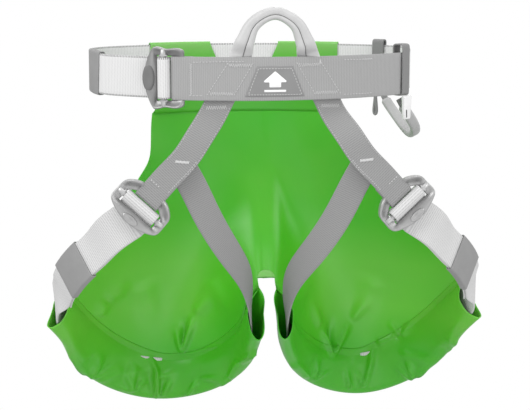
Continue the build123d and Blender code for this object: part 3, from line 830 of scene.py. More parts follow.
def leg_strap_route(side):
    place = leg_place(side)
    start = shifted(side, [lap_end] + under_stops[3:], 4)
    lower = leg_line(side, start + [strap_mouth, above_mouth, arc_foot], 17)
    x, y, z, angle = below_buckle
    near = np.array((side * x, y, z), float)
    near_out = facing(side, angle)
    near_out = unit(near_out - place.x * (near_out @ place.x))
    step = free_end_level - main_level
    arc = [keeper_station(side, a) for a in range(-20, 21, 4)]
    points = lower[0][:-1] + [p for p, _ in arc] + [near, place.point(lip_end, 0, main_level)]
    outward = lower[1][:-1] + [o for _, o in arc] + [near_out, place.z]
    free = [keeper_station(side, a, step) for a in range(20, -25, -4)]
    free_points = [place.point(lip_end, 0, free_end_level), near + near_out * step]
    free_points += [p for p, _ in free]
    free_outward = [place.z, near_out] + [o for _, o in free]
    return strung(smooth_line(points, outward), place.line(roll_profile(lip_end)),
                  flipped(smooth_line(free_points, free_outward)))


belt_route = front_belt_route()
belt = strap_mesh("front_belt_webbing", belt_route, belt_width, front_webbing)
finish_piece(belt, "harness", ("front_belt",))

back_strap = strap_mesh("waist_strap_webbing", waist_strap_route(), waist_strap_width, pale_waist)
finish_piece(back_strap, "harness", ("waist_strap",))

riser_routes, thigh_routes = {}, {}
for side, hand in ((-1, "left"), (1, "right")):
    riser_routes[side] = riser_route(side)
    riser = strap_mesh(f"{hand}_riser_webbing", riser_routes[side], riser_width, riser_webbing)
    finish_piece(riser, "harness", (f"{hand}_riser",))
    thigh_routes[side] = thigh_route(side)
    thigh = strap_mesh(f"{hand}_thigh_webbing", thigh_routes[side], thigh_width, riser_webbing)
    finish_piece(thigh, "harness", (f"{hand}_thigh_strap",))
    leg = strap_mesh(f"{hand}_leg_webbing", leg_strap_route(side), leg_strap_width, pale_leg)
    finish_piece(leg, "harness", (f"{hand}_leg_strap",))

# ================= the seat sheet =================
sheet_centre, flap_half = -18.0, 110.0
sheet_inside, sheet_outside = -9.6, -5.1      # offsets of the two walls of the belt tunnels
sheet_thickness = 0.8
flap_low, flap_high = -53.0, 24.6
crotch_half = {-1: 7.2, 1: 12.4}     # how far from the middle each leg's panel starts, at the crotch
weld_reach, weld_band = 27.2, 7.0
column_places = [0.0, 0.06, 0.22, 0.45, 0.7, 1.0]
row_places = [0.0, 0.2, 0.42, 0.62, 0.8, 1.0]
# The panel from the belt to the leg welds, column by column from the middle: outboard, y, z.
panel_net = [
    [(0, 92, -105), (0, 77, -165), (0, 52, -208), (0, 27, -236), (0, 8, -255)],
    [(8, 92, -105), (8, 77, -165), (8, 52, -208), (8, 27, -236), None],
    [(27, 91, -110), (30, 84, -172), (33, 70, -214), (38, 62, -262), None],
    [(56, 90, -112), (66, 90, -176), (80, 96, -235), (98, 103, -292), None],
    [(88, 80, -108), (108, 77, -162), (132, 80, -214), (160, 88, -268), None],
    [(114, 66, -97), (137, 58, -128), (176, 37, -174), (206, 17, -209), None],
]
panel_top = [0.0, 8.0, 26.0, 52.0, 77.0, 105.0]
inner_columns, outer_columns = 6, 165
panel_rows, wall_rows, fold_rows = 96, 22, 9
# Half of the gap between the belt flaps, and where it closes into a rounded U.
gap_half, gap_foot, gap_bend = {-1: 39.3, 1: 41.5}, -38.0, 0.66
inner_weld_drop = 11.0      # how much lower the weld runs on the inner half of a leg
crotch_rise = 9.0           # and how much higher it starts, at the crotch
mouth_reach = 42.0          # how far in from a tunnel's ends its mouths widen
mouth_shift = {-1: 1.5, 1: 8.0}     # how far right each leg's crotch mouth lies of the tunnel's line
# How far a mouth's corners hang open, outboard, back and up: the low one at the hip, and the
# low and high ones at the crotch.
hip_low_pull = (13.0, 0.0, 7.0)
crotch_low_pull, crotch_high_pull = (-6.5, 0.0, -12.0), (-7.0, 0.0, 0.0)
# The leg tunnel's outline across the strap: up towards the weld, and outward from the strap.
tunnel_outline = [(weld_reach, 0.8), (20, 6.6), (9, 10.6), (-6, 10.8), (-17, 8.6), (-23.5, 4.2),
                  (-25.4, -0.4), (-22, -4.6), (-10, -6.6), (6, -6.2), (19, -3.6), (25, -1.2)]
tunnel_rows = 54


def tunnel_frames(side, marks):
    """Middle, up and outward directions of the leg tunnel at shares of its length."""
    stops = shifted(side, [(16.6, -4, -267.5, -5), inner_mouth] + under_stops, 0)
    stops += [outer_mouth, (224, -6, -262, 184)]
    route = Route(*leg_line(side, stops, 200), curved=False)
    read = []
    for values in (route.points, route.across, route.outward):
        read.append(np.stack([np.interp(marks * route.length, route.marks, c) for c in values.T], 1))
    return read


def spread_columns():
    """Shares across the sheet: a few columns to the crotch's corner, then even ones."""
    inner = np.linspace(0, column_places[1], inner_columns, endpoint=False)
    return np.concatenate((inner, np.linspace(column_places[1], 1, outer_columns)))


def panel_points(side, columns, weld):
    """Rows of points from the belt's weld line down to the leg's weld."""
    rows = np.linspace(0, 1, panel_rows)
    leg_share = (np.array(column_places) - column_places[1]) / (1 - column_places[1])
    net = []
    for k, column in enumerate(panel_net):
        x = panel_top[k]
        normal = oval_normal_at(belt_centre_x + x, front=False)
        top = oval_point(normal, -7.4, flap_low)
        nodes = [(x, top[1], flap_low)] + [n for n in column if n is not None]
        if k == 1:
            nodes = [(crotch_half[side], *rest) for _, *rest in nodes]
        if column[-1] is None:
            foot = [np.interp(leg_share[k], np.linspace(0, 1, len(weld)), c) for c in weld.T]
            nodes.append((foot[0] * side, foot[1], foot[2]))
        net.append(cubic(row_places, np.array(nodes, float), rows))
    net = np.array(net)
    flat = net.reshape(len(panel_net), -1)
    surface = cubic(column_places, flat, columns).reshape(len(columns), panel_rows, 3)
    surface = surface.transpose(1, 0, 2)
    share = np.clip((columns - column_places[1]) / (1 - column_places[1]), 0, 1)
    target = np.stack([np.interp(share, np.linspace(0, 1, len(weld)), c) for c in weld.T], 1) * (side, 1, 1)
    miss = (target - surface[-1]) * (columns >= column_places[1] - 1e-9)[:, None]
    surface += smooth_step(0.72, 1.0, rows)[:, None, None] * miss
    surface[..., 0] *= side
    fade = smooth_step(-165, flap_low, surface[..., 2])
    surface[..., 0] += sheet_centre * fade
    return surface


def flap_rows():
    """Heights and offsets from the inside weld up, over the fold and down outside."""
    rise = np.linspace(0, 1, wall_rows)
    heights = flap_low + (flap_high - flap_low) * rise
    closing = 1 - smooth_step(flap_low, flap_low + 24, heights)
    middle = (sheet_inside + sheet_outside) / 2
    inside = [(z, sheet_inside + (middle - 0.5 - sheet_inside) * c) for z, c in zip(heights, closing)]
    outside = [(z, sheet_outside + (middle - sheet_outside) * c) for z, c in zip(heights, closing)]
    radius = (sheet_outside - sheet_inside) / 2
    fold = [(flap_high + radius * math.sin(a), middle - radius * math.cos(a))
            for a in np.linspace(0, math.pi, fold_rows)[1:-1]]
    return inside + fold + outside[::-1]


def flap_points(side, columns):
    widths = cubic(column_places, np.array(panel_top)[:, None], columns)[:, 0] / panel_top[-1]
    rows = []
    for z, offset in flap_rows()[:-1]:
        rise = max(0.0, min(1.0, (z - gap_foot) / (flap_high - gap_foot)))
        inner = gap_half[side] * rise**gap_bend
        half = panel_top[-1] + (flap_half - panel_top[-1]) * smooth_step(-35, 0, z)
        row = []
        for share in widths:
            x = sheet_centre + side * (inner + (half - inner) * share)
            normal = oval_normal_at(x, front=False)
            row.append(oval_point(normal, offset, z))
        rows.append(row)
    return np.array(rows)


def weld_height(share):
    """How far the weld lies above the strap's middle, along the leg from the crotch."""
    dip = smooth_step(0.0, 0.16, share) * (1 - smooth_step(0.28, 0.62, share))
    return weld_reach - inner_weld_drop * dip + crotch_rise * (1 - smooth_step(0.0, 0.12, share))


def mouth_pull(side, share, low, high, length):
    """The mouths hang open: out and up at the hip's low corner, in and down at the crotch's."""
    outer = np.clip(1 - (1 - share) * length / mouth_reach, 0, 1) ** 2
    inner = np.clip(1 - share * length / mouth_reach, 0, 1) ** 2
    mirror = np.array((side, 1.0, 1.0))
    shift = low * outer[None, :, None] * (mirror * hip_low_pull)
    shift = shift + low * inner[None, :, None] * (mirror * crotch_low_pull)
    shift = shift + high * inner[None, :, None] * (mirror * crotch_high_pull)
    return shift + inner[None, :, None] * np.array((mouth_shift[side], 0, 0))


def tunnel_points(side, frames, share, length):
    middle, across, outward = frames
    line = np.array(tunnel_outline, float)
    knots = lengths_along(line)
    line = cubic(knots, line, np.linspace(0, knots[-1], tunnel_rows))[1:]
    high = line[:, None, :1] * (weld_height(share) / weld_reach)[None, :, None]
    reach = np.where(line[:, None, :1] > 0, high, line[:, None, :1])
    low = np.clip((8 - line[:, None, :1]) / 33, 0, 1) ** 1.5
    points = middle[None] + across[None] * reach + outward[None] * line[:, None, 1:]
    return points + mouth_pull(side, share, low, np.clip(line[:, None, :1] / weld_reach, 0, 1), length)


def band_points(panel, front):
    """The welded lap: rows that lie on the panel's front, up from the weld."""
    rows = []
    for reach, lift in ((0.0, 0.9), (1.1, 1.4), (2.2, 0.9), (3.5, 1.4), (4.8, 0.9), (6.0, 1.3),
                        (weld_band, 0.7), (weld_band + 0.7, -0.1)):
        row = []
        for column in range(panel.shape[1]):
            line = panel[::-1, column]
            marks = lengths_along(line)
            spot = [np.interp(reach, marks, c) for c in line.T]
            row.append(np.array(spot) + front[column] * lift)
        rows.append(row)
    return np.array(rows)


def grid_normals(points):
    down, along = np.gradient(points, axis=0), np.gradient(points, axis=1)
    return unit(np.cross(along, down) + 1e-12)


def crease(points, start, end, narrow, wide, height, fade=0.5):
    """How far a fold seen from the front lifts each point; it fans out from start to end."""
    start, end = np.array(start, float), np.array(end, float)
    run = end - start
    length = np.linalg.norm(run)
    run = run / length
    flat = points[..., (0, 2)] - start
    along = flat @ run / length
    off = flat[..., 0] * run[1] - flat[..., 1] * run[0]
    width = narrow + (wide - narrow) * np.clip(along, 0, 1)
    taper = smooth_step(-0.02, 0.2, along) * (1 - smooth_step(1 - fade, 1.0, along))
    return height * np.exp(-((off / width) ** 2)) * taper


def seat_half(side, folds):
    columns = spread_columns()
    share = np.clip((columns - column_places[1]) / (1 - column_places[1]), 0, 1)
    middle, across, outward = tunnel_frames(side, np.linspace(0, 1, 200))
    up_way = across * -side if (across[100] * -side)[2] > 0 else across
    places = np.linspace(0, 1, 200)
    weld = middle + up_way * weld_height(places)[:, None] + outward * 0.8
    length = lengths_along(middle)[-1]
    weld = weld + mouth_pull(side, places, np.zeros((1, 1, 1)), 1.0, length)[0]
    panel = panel_points(side, columns, weld)
    frames = tunnel_frames(side, share)
    frames[1] = frames[1] * (1 if (frames[1][len(columns) // 2])[2] > 0 else -1)
    tunnel = tunnel_points(side, frames, share, length)
    front = -frames[2]
    band = band_points(panel, front)
    rows = np.concatenate((flap_points(side, columns), panel, tunnel, band))
    first_leg = len(flap_rows()) - 1 + panel_rows
    crotch_row = len(flap_rows()) - 1 + int(round(row_places[4] * (panel_rows - 1)))
    lift = fold_depth * sum(crease(rows, (side * a[0], a[1]), (side * b[0], b[1]), *rest)
                            for a, b, *rest in folds)
    normals = grid_normals(rows)
    facing_front = np.where(normals[..., 1:2] > 0, -normals, normals)
    top = 1 - smooth_step(-110, -60, rows[..., 2])
    seen = smooth_step(0.2, 0.7, -facing_front[..., 1])
    rows = rows + facing_front * (lift * top * seen)[..., None]
    return rows, crotch_row, first_leg


fold_depth = 2.3
# Folds in the leg panels and tunnels, each fanning out from its first point: (outboard, z) of both
# ends, width at each end, height, and the share over which it dies away.
left_folds = [
    ((201, -360), (235, -298), 1.8, 7, 2.6, 0.4), ((201, -360), (182, -326), 1.8, 7, 2.2, 0.6),
    ((201, -360), (160, -346), 1.6, 5, 1.6, 0.7), ((152, -386), (160, -353), 1.6, 5, 2.2, 0.6),
    ((152, -386), (149, -351), 1.4, 4, 2.0, 0.6), ((152, -386), (134, -370), 1.4, 4, 1.8, 0.6),
    ((152, -386), (170, -372), 1.6, 4, 1.4, 0.6), ((123, -398), (122, -352), 2.0, 3.2, 3.6, 0.4),
    ((122, -366), (132, -340), 1.6, 4, 1.8, 0.6), ((117, -395), (102, -366), 1.4, 4, 2.2, 0.6),
    ((88, -394), (72, -369), 1.4, 3.4, 2.2, 0.5), ((73, -370), (42, -364), 1.6, 5, 1.6, 0.6),
    ((10, -310), (29, -338), 3.0, 3.4, 2.4, 0.3), ((27, -332), (38, -366), 3.0, 3.4, 2.4, 0.3),
    ((36, -360), (52, -378), 3.2, 2.4, 2.0, 0.5), ((93, -343), (98, -308), 1.8, 6, 2.6, 0.6),
    ((93, -343), (73, -290), 2.0, 6, 3.4, 0.5), ((76, -296), (52, -258), 4.5, 9, 1.8, 0.7),
    ((92, -338), (86, -296), 1.2, 6, -2.4, 0.6), ((188, -288), (178, -268), 5, 8, 1.6, 0.5),
    ((180, -270), (148, -252), 6, 10, 1.8, 0.6), ((91, -346), (26, -318), 0.9, 0.9, 0.6, 0.3),
    ((140, -250), (120, -320), 16, 12, 1.6, 0.5), ((60, -250), (30, -290), 9, 10, 1.2, 0.5),
    ((192, -364), (159, -356), 4, 7, 1.4, 0.3), ((159, -356), (136, -364), 7, 4, 1.4, 0.5),
    ((134, -360), (125, -394), 5, 3, -0.9, 0.3), ((121, -370), (95, -362), 3, 5, 1.2, 0.5),
    ((80, -358), (50, -380), 10, 8, -0.7, 0.4), ((200, -328), (197, -356), 7, 4, -0.9, 0.4),
]
right_folds = [
    ((88, -349), (73, -311), 1.8, 5, 2.4, 0.5), ((73, -313), (58, -270), 4, 8, 2.0, 0.7),
    ((88, -349), (113, -308), 1.8, 6, 3.0, 0.5), ((112, -310), (137, -274), 4, 9, 1.8, 0.7),
    ((88, -344), (86, -296), 1.2, 7, -2.6, 0.6), ((110, -392), (103, -361), 1.6, 4, 2.2, 0.6),
    ((126, -390), (133, -370), 1.6, 3.4, 2.4, 0.3), ((131, -376), (142, -334), 2.4, 5, 2.2, 0.6),
    ((126, -390), (118, -366), 1.4, 4, 1.8, 0.6), ((185, -376), (175, -342), 1.6, 5, 2.4, 0.6),
    ((185, -378), (203, -345), 1.6, 5, 2.2, 0.6), ((185, -378), (158, -354), 1.6, 5, 2.0, 0.6),
    ((60, -371), (72, -342), 1.4, 4, 2.0, 0.6), ((60, -371), (88, -360), 1.4, 4, 1.6, 0.6),
    ((170, -324), (154, -307), 2.0, 6, 1.8, 0.7), ((170, -324), (187, -303), 2.0, 6, 1.8, 0.7),
    ((209, -299), (219, -275), 2.4, 6, 1.6, 0.6), ((227, -348), (213, -316), 1.8, 5, 2.0, 0.6),
    ((227, -348), (240, -320), 1.8, 5, 1.8, 0.6), ((10, -310), (27, -340), 3.0, 3.4, 2.2, 0.3),
    ((26, -334), (40, -366), 3.0, 3.4, 2.2, 0.3), ((140, -250), (122, -320), 16, 12, 1.6, 0.5),
    ((60, -250), (30, -290), 9, 10, 1.2, 0.5), ((143, -338), (166, -326), 5, 5, 1.4, 0.3),
    ((166, -344), (213, -347), 5, 7, 1.3, 0.4), ((208, -300), (225, -322), 4, 5, 1.5, 0.3),
    ((225, -322), (224, -347), 5, 4, 1.5, 0.3), ((207, -322), (221, -338), 5, 5, -0.7, 0.4),
    ((112, -348), (126, -386), 8, 5, -0.4, 0.3), ((60, -340), (85, -365), 10, 8, -0.6, 0.4),
    ((33, -335), (58, -369), 4, 4, 1.8, 0.3),
]


def make_seat():
    vertices, faces, start = [], [], 0
    halves = []
    for side, folds in ((-1, left_folds), (1, right_folds)):
        rows, crotch_row, first_leg = seat_half(side, folds)
        count, size = rows.shape[:2]
        for row in range(count - 1):
            for column in range(size - 1):
                if column < inner_columns and row >= crotch_row:
                    continue
                low, high = start + row * size + column, start + (row + 1) * size + column
                quad = (low, low + 1, high + 1, high)
                faces.append(quad if side > 0 else quad[::-1])
        vertices.append(rows.reshape(-1, 3))
        start += count * size
        halves.append(rows)
    seat = new_object("seat_sheet", np.concatenate(vertices), faces, green_vinyl)
    settle(seat, ("WELD", {"merge_threshold": 0.00005}))
    return seat


seat = make_seat()
finish_piece(seat, "harness", ("seat_back_panel", "left_seat_leg_panel", "right_seat_leg_panel",
                               "left_leg_tunnel", "right_leg_tunnel", "left_belt_tunnel",
                               "right_belt_tunnel"))
settle(seat, ("SOLIDIFY", {"thickness": sheet_thickness * MM, "offset": 0.0}))


def make_crotch_patch():
    """The half-round reinforcement welded on at the crotch, on the sheet's slope there."""
    rings, spokes = 8, 32
    middle_x, foot_y, low_z, reach = crotch_middle
    back, up = crotch_slope
    rows = []
    for share in np.linspace(0.05, 1, rings):
        row = []
        for turn in np.linspace(0, math.pi, spokes):
            x, rise = reach * share * math.cos(turn), reach * share * math.sin(turn)
            proud = crotch_proud if share < 1 else crotch_rim_proud
            row.append((middle_x + x, foot_y + back * rise - up * proud, low_z + up * rise + back * proud))
        rows.append(row)
    patch = new_object("crotch_reinforcement", np.array(rows), grid_faces(rings, spokes), pale_vinyl)
    finish_piece(patch, "harness", ("crotch_patch",))


crotch_middle = (2.6, 27.2, -235.9, 9.8)
crotch_slope = (0.667, 0.745)       # how far the sheet runs back and up there, for each unit along it
crotch_proud, crotch_rim_proud = 2.6, 1.9
make_crotch_patch()

# ================= keepers, hangers and other closed loops of tape =================
def sleeve_mesh(name, points, outward, outer, inner, material):
    """A short sleeve with a wall: an outer and an inner outline carried along a line."""
    route = Route(points, outward, spacing=1.5, curved=False)
    outside, inside = swept(route, outer), swept(route, inner)[::-1]
    rings = np.concatenate((outside, inside))
    count, size = rings.shape[:2]
    uv = np.zeros((count, size, 2))
    uv[..., 0] = np.concatenate((route.marks, route.marks[::-1]))[:, None]
    uv[..., 1] = outer[:, 0]
    return new_object(name, rings, tube_faces(count, size, looped=True), material, uv)


keeper_wall, keeper_play = 1.1, 0.7
waist_keeper_span = (188.5, 216.0)      # normals round the oval
leg_keeper_span = (-9, 14)              # degrees round the strap's bend


def keeper_outlines(width, layers, shift):
    """Outer and inner outlines round two strap layers, shifted off the upper layer."""
    sizes = (width + 2 * keeper_play, layers + 2 * keeper_play)
    inner = rounded_section(*sizes, 0.9)
    outer = rounded_section(sizes[0] + 2 * keeper_wall, sizes[1] + 2 * keeper_wall, 2.2)
    return outer + (0, shift), inner + (0, shift)


def make_keepers():
    middle = (waist_strap_offset + waist_tail_offset) / 2
    outer, inner = keeper_outlines(waist_strap_width, webbing + waist_strap_offset - waist_tail_offset, 0)
    line = belt_line(*waist_keeper_span, middle - 0.6)
    keeper = sleeve_mesh("waist_keeper_band", *line, outer, inner, elastic_cloth)
    finish_piece(keeper, "waist_keeper", ("waist_keeper",))
    step = free_end_level - main_level
    outer, inner = keeper_outlines(leg_strap_width, webbing - step, step / 2)
    for side, hand in ((-1, "left"), (1, "right")):
        stations = [keeper_station(side, a) for a in np.linspace(*leg_keeper_span, 24)]
        keeper = sleeve_mesh(f"{hand}_keeper_band", [p for p, _ in stations], [o for _, o in stations],
                             outer, inner, elastic_cloth)
        finish_piece(keeper, f"{hand}_keeper", (f"{hand}_leg_keeper",))


make_keepers()


# ================= buckles =================
# Stations round a pressed frame, from the middle of the thumb lip to the middle of the fixed bar:
# inner edge, outer edge, heights of the top face at the inner edge, a third, two thirds and the
# outer edge, then heights of the underside at the two edges.
lip_stations = [
    ((-8.4, 0), (-20.6, 0), (2.4, 4.4, 5.4, 4.8), (-1.2, 3.0)),
    ((-8.4, 9), (-20.0, 9.5), (2.4, 4.5, 5.6, 4.9), (-1.2, 3.0)),
    ((-8.4, 17), (-17.0, 20), (2.4, 4.9, 6.2, 5.0), (-1.2, 2.4)),
    ((-8.4, 21.5), (-12.6, 28.4), (2.6, 4.8, 7.2, 5.6), (-1.5, 0.6)),
]
waist_ends = [
    ((-6.5, 22.9), (-7.5, 31.8), (3.0, 4.0, 7.8, 6.6), (-1.5, -1.5)),
    ((1.5, 22.6), (1.5, 29.6), (2.8, 3.4, 6.8, 5.8), (-1.5, -1.5)),
    ((7.5, 22.2), (10.5, 30.4), (2.0, 3.0, 7.6, 6.2), (-1.5, -1.5)),
    ((9.6, 21.0), (19.8, 28.8), (1.3, 2.4, 6.8, 5.4), (-1.5, -1.5)),
    ((10.6, 18.6), (21.0, 21.5), (1.2, 1.3, 1.8, 1.4), (-1.5, -1.5)),
    ((11.0, 9), (20.8, 10), (1.2, 1.3, 1.3, 1.1), (-1.5, -1.5)),
    ((11.0, 0), (20.8, 0), (1.2, 1.3, 1.3, 1.1), (-1.5, -1.5)),
]
leg_ends = [
    ((-6.5, 21.8), (-7.0, 31.2), (2.2, 3.4, 5.2, 4.4), (-1.5, -1.5)),
    ((1.0, 21.8), (2.0, 31.0), (2.0, 2.8, 3.8, 3.2), (-1.5, -1.5)),
    ((5.5, 20.6), (11.0, 29.8), (1.2, 0.8, 5.6, 5.0), (-1.5, -1.5)),
    ((8.0, 17.4), (18.0, 23.0), (1.2, 0.8, 8.4, 7.6), (-1.5, -1.0)),
    ((9.6, 14.6), (21.4, 15.4), (1.2, 0.8, 6.4, 5.4), (-1.5, -1.5)),
    ((10.8, 8), (20.4, 9), (1.2, 1.2, 1.2, 1.0), (-1.5, -1.5)),
    ((10.8, 0), (20.4, 0), (1.2, 1.2, 1.2, 1.0), (-1.5, -1.5)),
]
frame_stations, overlap = 120, 4
waist_pad, leg_pad = (6.2, 13.5), (4.3, 9.6)


def frame_mesh(name, place, stations, material):
    """A pressed metal frame: a closed outline with a varying section, carried round the window."""
    half = [list(a) + list(b) + list(top) + list(low) for a, b, top, low in stations]
    mirrored = [[a, -b, c, -d] + rest for a, b, c, d, *rest in half[-2:0:-1]]
    ring = np.array(half + mirrored)
    knots = np.arange(-overlap, len(ring) + overlap + 1, dtype=float)
    wrapped = ring[np.arange(-overlap, len(ring) + overlap + 1) % len(ring)]
    at = np.linspace(0, len(ring), frame_stations, endpoint=False)
    rows = []
    for values in cubic(knots, wrapped, at):
        inner, outer, top, low = values[:2], values[2:4], values[4:8], values[8:]
        section = ((0, (top[0] + low[0]) / 2), (0.02, top[0] - 0.35), (0.1, top[0]), (0.35, top[1]),
                   (0.6, (top[1] + top[2]) / 2), (0.78, top[2]), (0.92, top[2] - 0.25), (0.99, top[3]),
                   (1.0, (top[3] + low[1]) / 2), (0.98, low[1] + 0.3), (0.9, low[1]),
                   (0.5, (low[0] + low[1]) / 2), (0.1, low[0]), (0.02, low[0] + 0.35))
        row = []
        for share, height in section:
            x, y = inner + (outer - inner) * share
            row.append(place.point(x, y, height))
        rows.append(row)
    frame = new_object(name, rows, tube_faces(*np.shape(rows)[:2], looped=True), material)
    return settle(frame, ("SUBSURF", {"levels": 1, "render_levels": 1}))


def pad_mesh(name, place, middle, half, rise, tilt, material):
    """The oval thumb pad: a shallow dish with a raised rim, set on the lip."""
    rings, spokes = 12, 48
    rows = []
    for share in np.linspace(1, 0, rings, endpoint=False):
        edge = 0.25 + 0.75 * smooth_step(1.0, 0.82, share)
        height = rise * edge - rise * 0.55 * smooth_step(0.7, 0.0, share)
        row = []
        for turn in np.linspace(0, 2 * math.pi, spokes, endpoint=False):
            x, y = half[0] * share * math.cos(turn), half[1] * share * math.sin(turn)
            row.append(place.point(middle[0] + x, y, middle[1] + height + tilt * x))
        rows.append(row)
    faces = grid_faces(rings, spokes, closed=True)
    faces.append(tuple(range((rings - 1) * spokes, rings * spokes)))
    rim = [tuple(v - place.z * 1.6) for v in np.array(rows[0])]
    base = rings * spokes
    faces += [(base + k, base + (k + 1) % spokes, (k + 1) % spokes, k) for k in range(spokes)]
    return new_object(name, rows + [rim], faces, material)


def slider_mesh(name, place):
    """The bar the strap rolls over, with its grip lugs."""
    stations = [(-29.2, 2.0, 2.0), (-28.8, 3, 3), (-24.0, 3, 3), (-23.4, 4.0, 3.0), (-23.0, 4.8, 3.0),
                (-22.4, 4.8, 3.0), (-22.0, 4.2, 3.0), (-21.6, 3, 3)]
    stations += [(-y, a, b) for y, a, b in stations[::-1]]
    spokes = 28
    rows = []
    for y, a, b in stations:
        rows.append([place.point(a * math.cos(t), y, bar_height + b * math.sin(t))
                     for t in np.linspace(0, 2 * math.pi, spokes, endpoint=False)])
    return new_object(name, rows, tube_faces(len(rows), spokes), bar_metal)


def make_buckles():
    for hand, place, ends, metal, pad, slot in (
            ("waist", waist_place, waist_ends, waist_metal, thumb_rubber, "waist_buckle_metal"),
            ("left_leg", leg_place(-1), leg_ends, leg_metal, leg_metal, "leg_buckle_metal"),
            ("right_leg", leg_place(1), leg_ends, leg_metal, leg_metal, "leg_buckle_metal")):
        frame = frame_mesh(f"{hand}_buckle_pressed_frame", place, lip_stations + ends, metal)
        finish_piece(frame, "harness", (f"{hand}_buckle_frame",))
        half = waist_pad if hand == "waist" else leg_pad
        thumb = pad_mesh(f"{hand}_buckle_thumb_pad", place, (-16.2, 4.7), half, 1.5, -0.06, pad)
        finish_piece(thumb, "harness", ())
        slider = slider_mesh(f"{hand}_buckle_bar", place)
        finish_piece(slider, f"{hand.removesuffix('_leg')}_slider", (f"{hand}_buckle_slider",))


make_buckles()

front_hanger_normal, rear_hanger_normal = 312.6, 52.0
hanger_wall = 1.8
hanger_low, hanger_high = -21.4, 29.6


def belt_axes(normal, offset, z):
    """A point on the belt with its outward and along directions."""
    ray = oval_ray(normal)
    return oval_point(normal, offset, z), ray, np.array((ray[1], -ray[0], 0.0))


def make_hanger(name, node, normal, width, inner, outer):
    middle, ray, _ = belt_axes(normal, (inner + outer) / 2, (hanger_low + hanger_high) / 2)
    half = ((outer - inner + hanger_wall) / 2, (hanger_high - hanger_low + hanger_wall) / 2)
    corners = [(0, -half[1]), (half[0], -half[1]), (half[0], half[1]), (-half[0], half[1]),
               (-half[0], -half[1]), (0, -half[1])]
    line = bend(corners, 3.0)
    points = [middle + ray * x + up * z for x, z in line]
    flat = np.gradient(np.array(line), axis=0)
    outward = [unit(ray * dz - up * dx) for dx, dz in flat]
    route = Route(points[:-1], outward[:-1], spacing=1.5, curved=False)
    band = strap_mesh(name, route, width, dark_tape, thickness=hanger_wall, closed=True)
    finish_piece(band, "harness", (node,))


make_hanger("front_hanger_tape", "front_gear_hanger", front_hanger_normal, 12, -9.6, 0.9)
make_hanger("rear_hanger_tape", "rear_gear_hanger", rear_hanger_normal, 14, -10.2, -4.8)

# ================= gear loop, tag and lanyard loop =================
pivot_z = -27.6
gear_rear = belt_axes(rear_hanger_normal, -7.5, pivot_z)[0] + (3.2, -4.2, 0)
gear_front = belt_axes(front_hanger_normal, -8.4, pivot_z)[0] + (2.4, 2.6, 0)
gear_axis = unit(gear_front - gear_rear)
gear_out = -np.cross(gear_axis, up)
gear_stops = [(0.0, 0, 0), (0.045, 4, -9), (0.13, 11, -21), (0.27, 18, -33), (0.46, 23, -41),
              (0.66, 24, -40), (0.85, 21, -32), (0.955, 13, -20), (0.985, 5, -8.5), (1.0, 0, 0)]
groove_places = (0.36, 0.4, 0.72, 0.76)


def make_gear_loop():
    span = np.linalg.norm(gear_front - gear_rear)
    middle = (gear_rear + gear_front) / 2 + gear_out * 9 - up * 12
    points = np.array([gear_rear + gear_axis * (a * span) + gear_out * o + up * d for a, o, d in gear_stops])
    points, outward = smooth_line(points, unit(points - middle), step=1.0)
    whole = Route(points, outward, spacing=0.7, curved=False)
    inside = slice(np.searchsorted(whole.marks, 8), np.searchsorted(whole.marks, whole.length - 8))
    strap = strap_mesh("gear_loop_tape", whole, 7, dark_tape)
    finish_piece(strap, "gear_loop", ("gear_loop_strap",))
    sleeve = Route(whole.points[inside], whole.outward[inside], spacing=0.5, curved=False)
    outline = rounded_section(11, 6.5, 2.6)
    shares = sleeve.marks / sleeve.length
    narrow = np.ones(len(shares))
    for place in groove_places:
        narrow -= 0.13 * np.exp(-(((shares - place) * sleeve.length / 0.6) ** 2))
    narrow -= 0.28 * (1 - smooth_step(0, 2.2, sleeve.marks)) + 0.28 * smooth_step(
        sleeve.length - 2.2, sleeve.length, sleeve.marks)
    rings = swept(sleeve, outline[None] * narrow[:, None, None])
    made = new_object("gear_loop_sleeve_skin", rings, tube_faces(*rings.shape[:2]), gear_plastic)
    finish_piece(made, "gear_loop", ("gear_loop_sleeve",))


make_gear_loop()


def tube(name, line, radius, material, steps=10, closed=False, flat=1.0):
    """A round or flattened tube along a line of points."""
    points = np.array(line, float)
    centre = points.mean(0)
    outward = unit(points - centre + 1e-6)
    route = Route(points, outward, spacing=radius * 0.7, curved=False)
    turns = np.linspace(0, 2 * math.pi, steps, endpoint=False)
    outline = np.stack((radius * np.cos(turns), radius * flat * np.sin(turns)), 1)
    rings = swept(route, outline)
    return new_object(name, rings, tube_faces(*rings.shape[:2], closed), material)


def make_lanyard_loop():
    origin, ray, along = belt_axes(rear_hanger_normal, -7.5, pivot_z)
    origin = origin - along * 4
    shape = []
    for share in np.linspace(0, 2 * math.pi, 60, endpoint=False):
        drop = (1 - math.cos(share)) / 2
        shape.append((3.4 * math.sin(share) * (0.12 + 0.88 * drop**2.2), -drop * 25.5))
    line = [origin + along * x + up * z for x, z in shape]
    loop = tube("lanyard_loop_cord", line, 1.7, dark_tape_round, closed=True)
    finish_piece(loop, "lanyard_loop", ("lanyard_loop",))


dark_tape_round = moulded_material("dark_cord", srgb(140), 0.75, grain=0.12)
make_lanyard_loop()


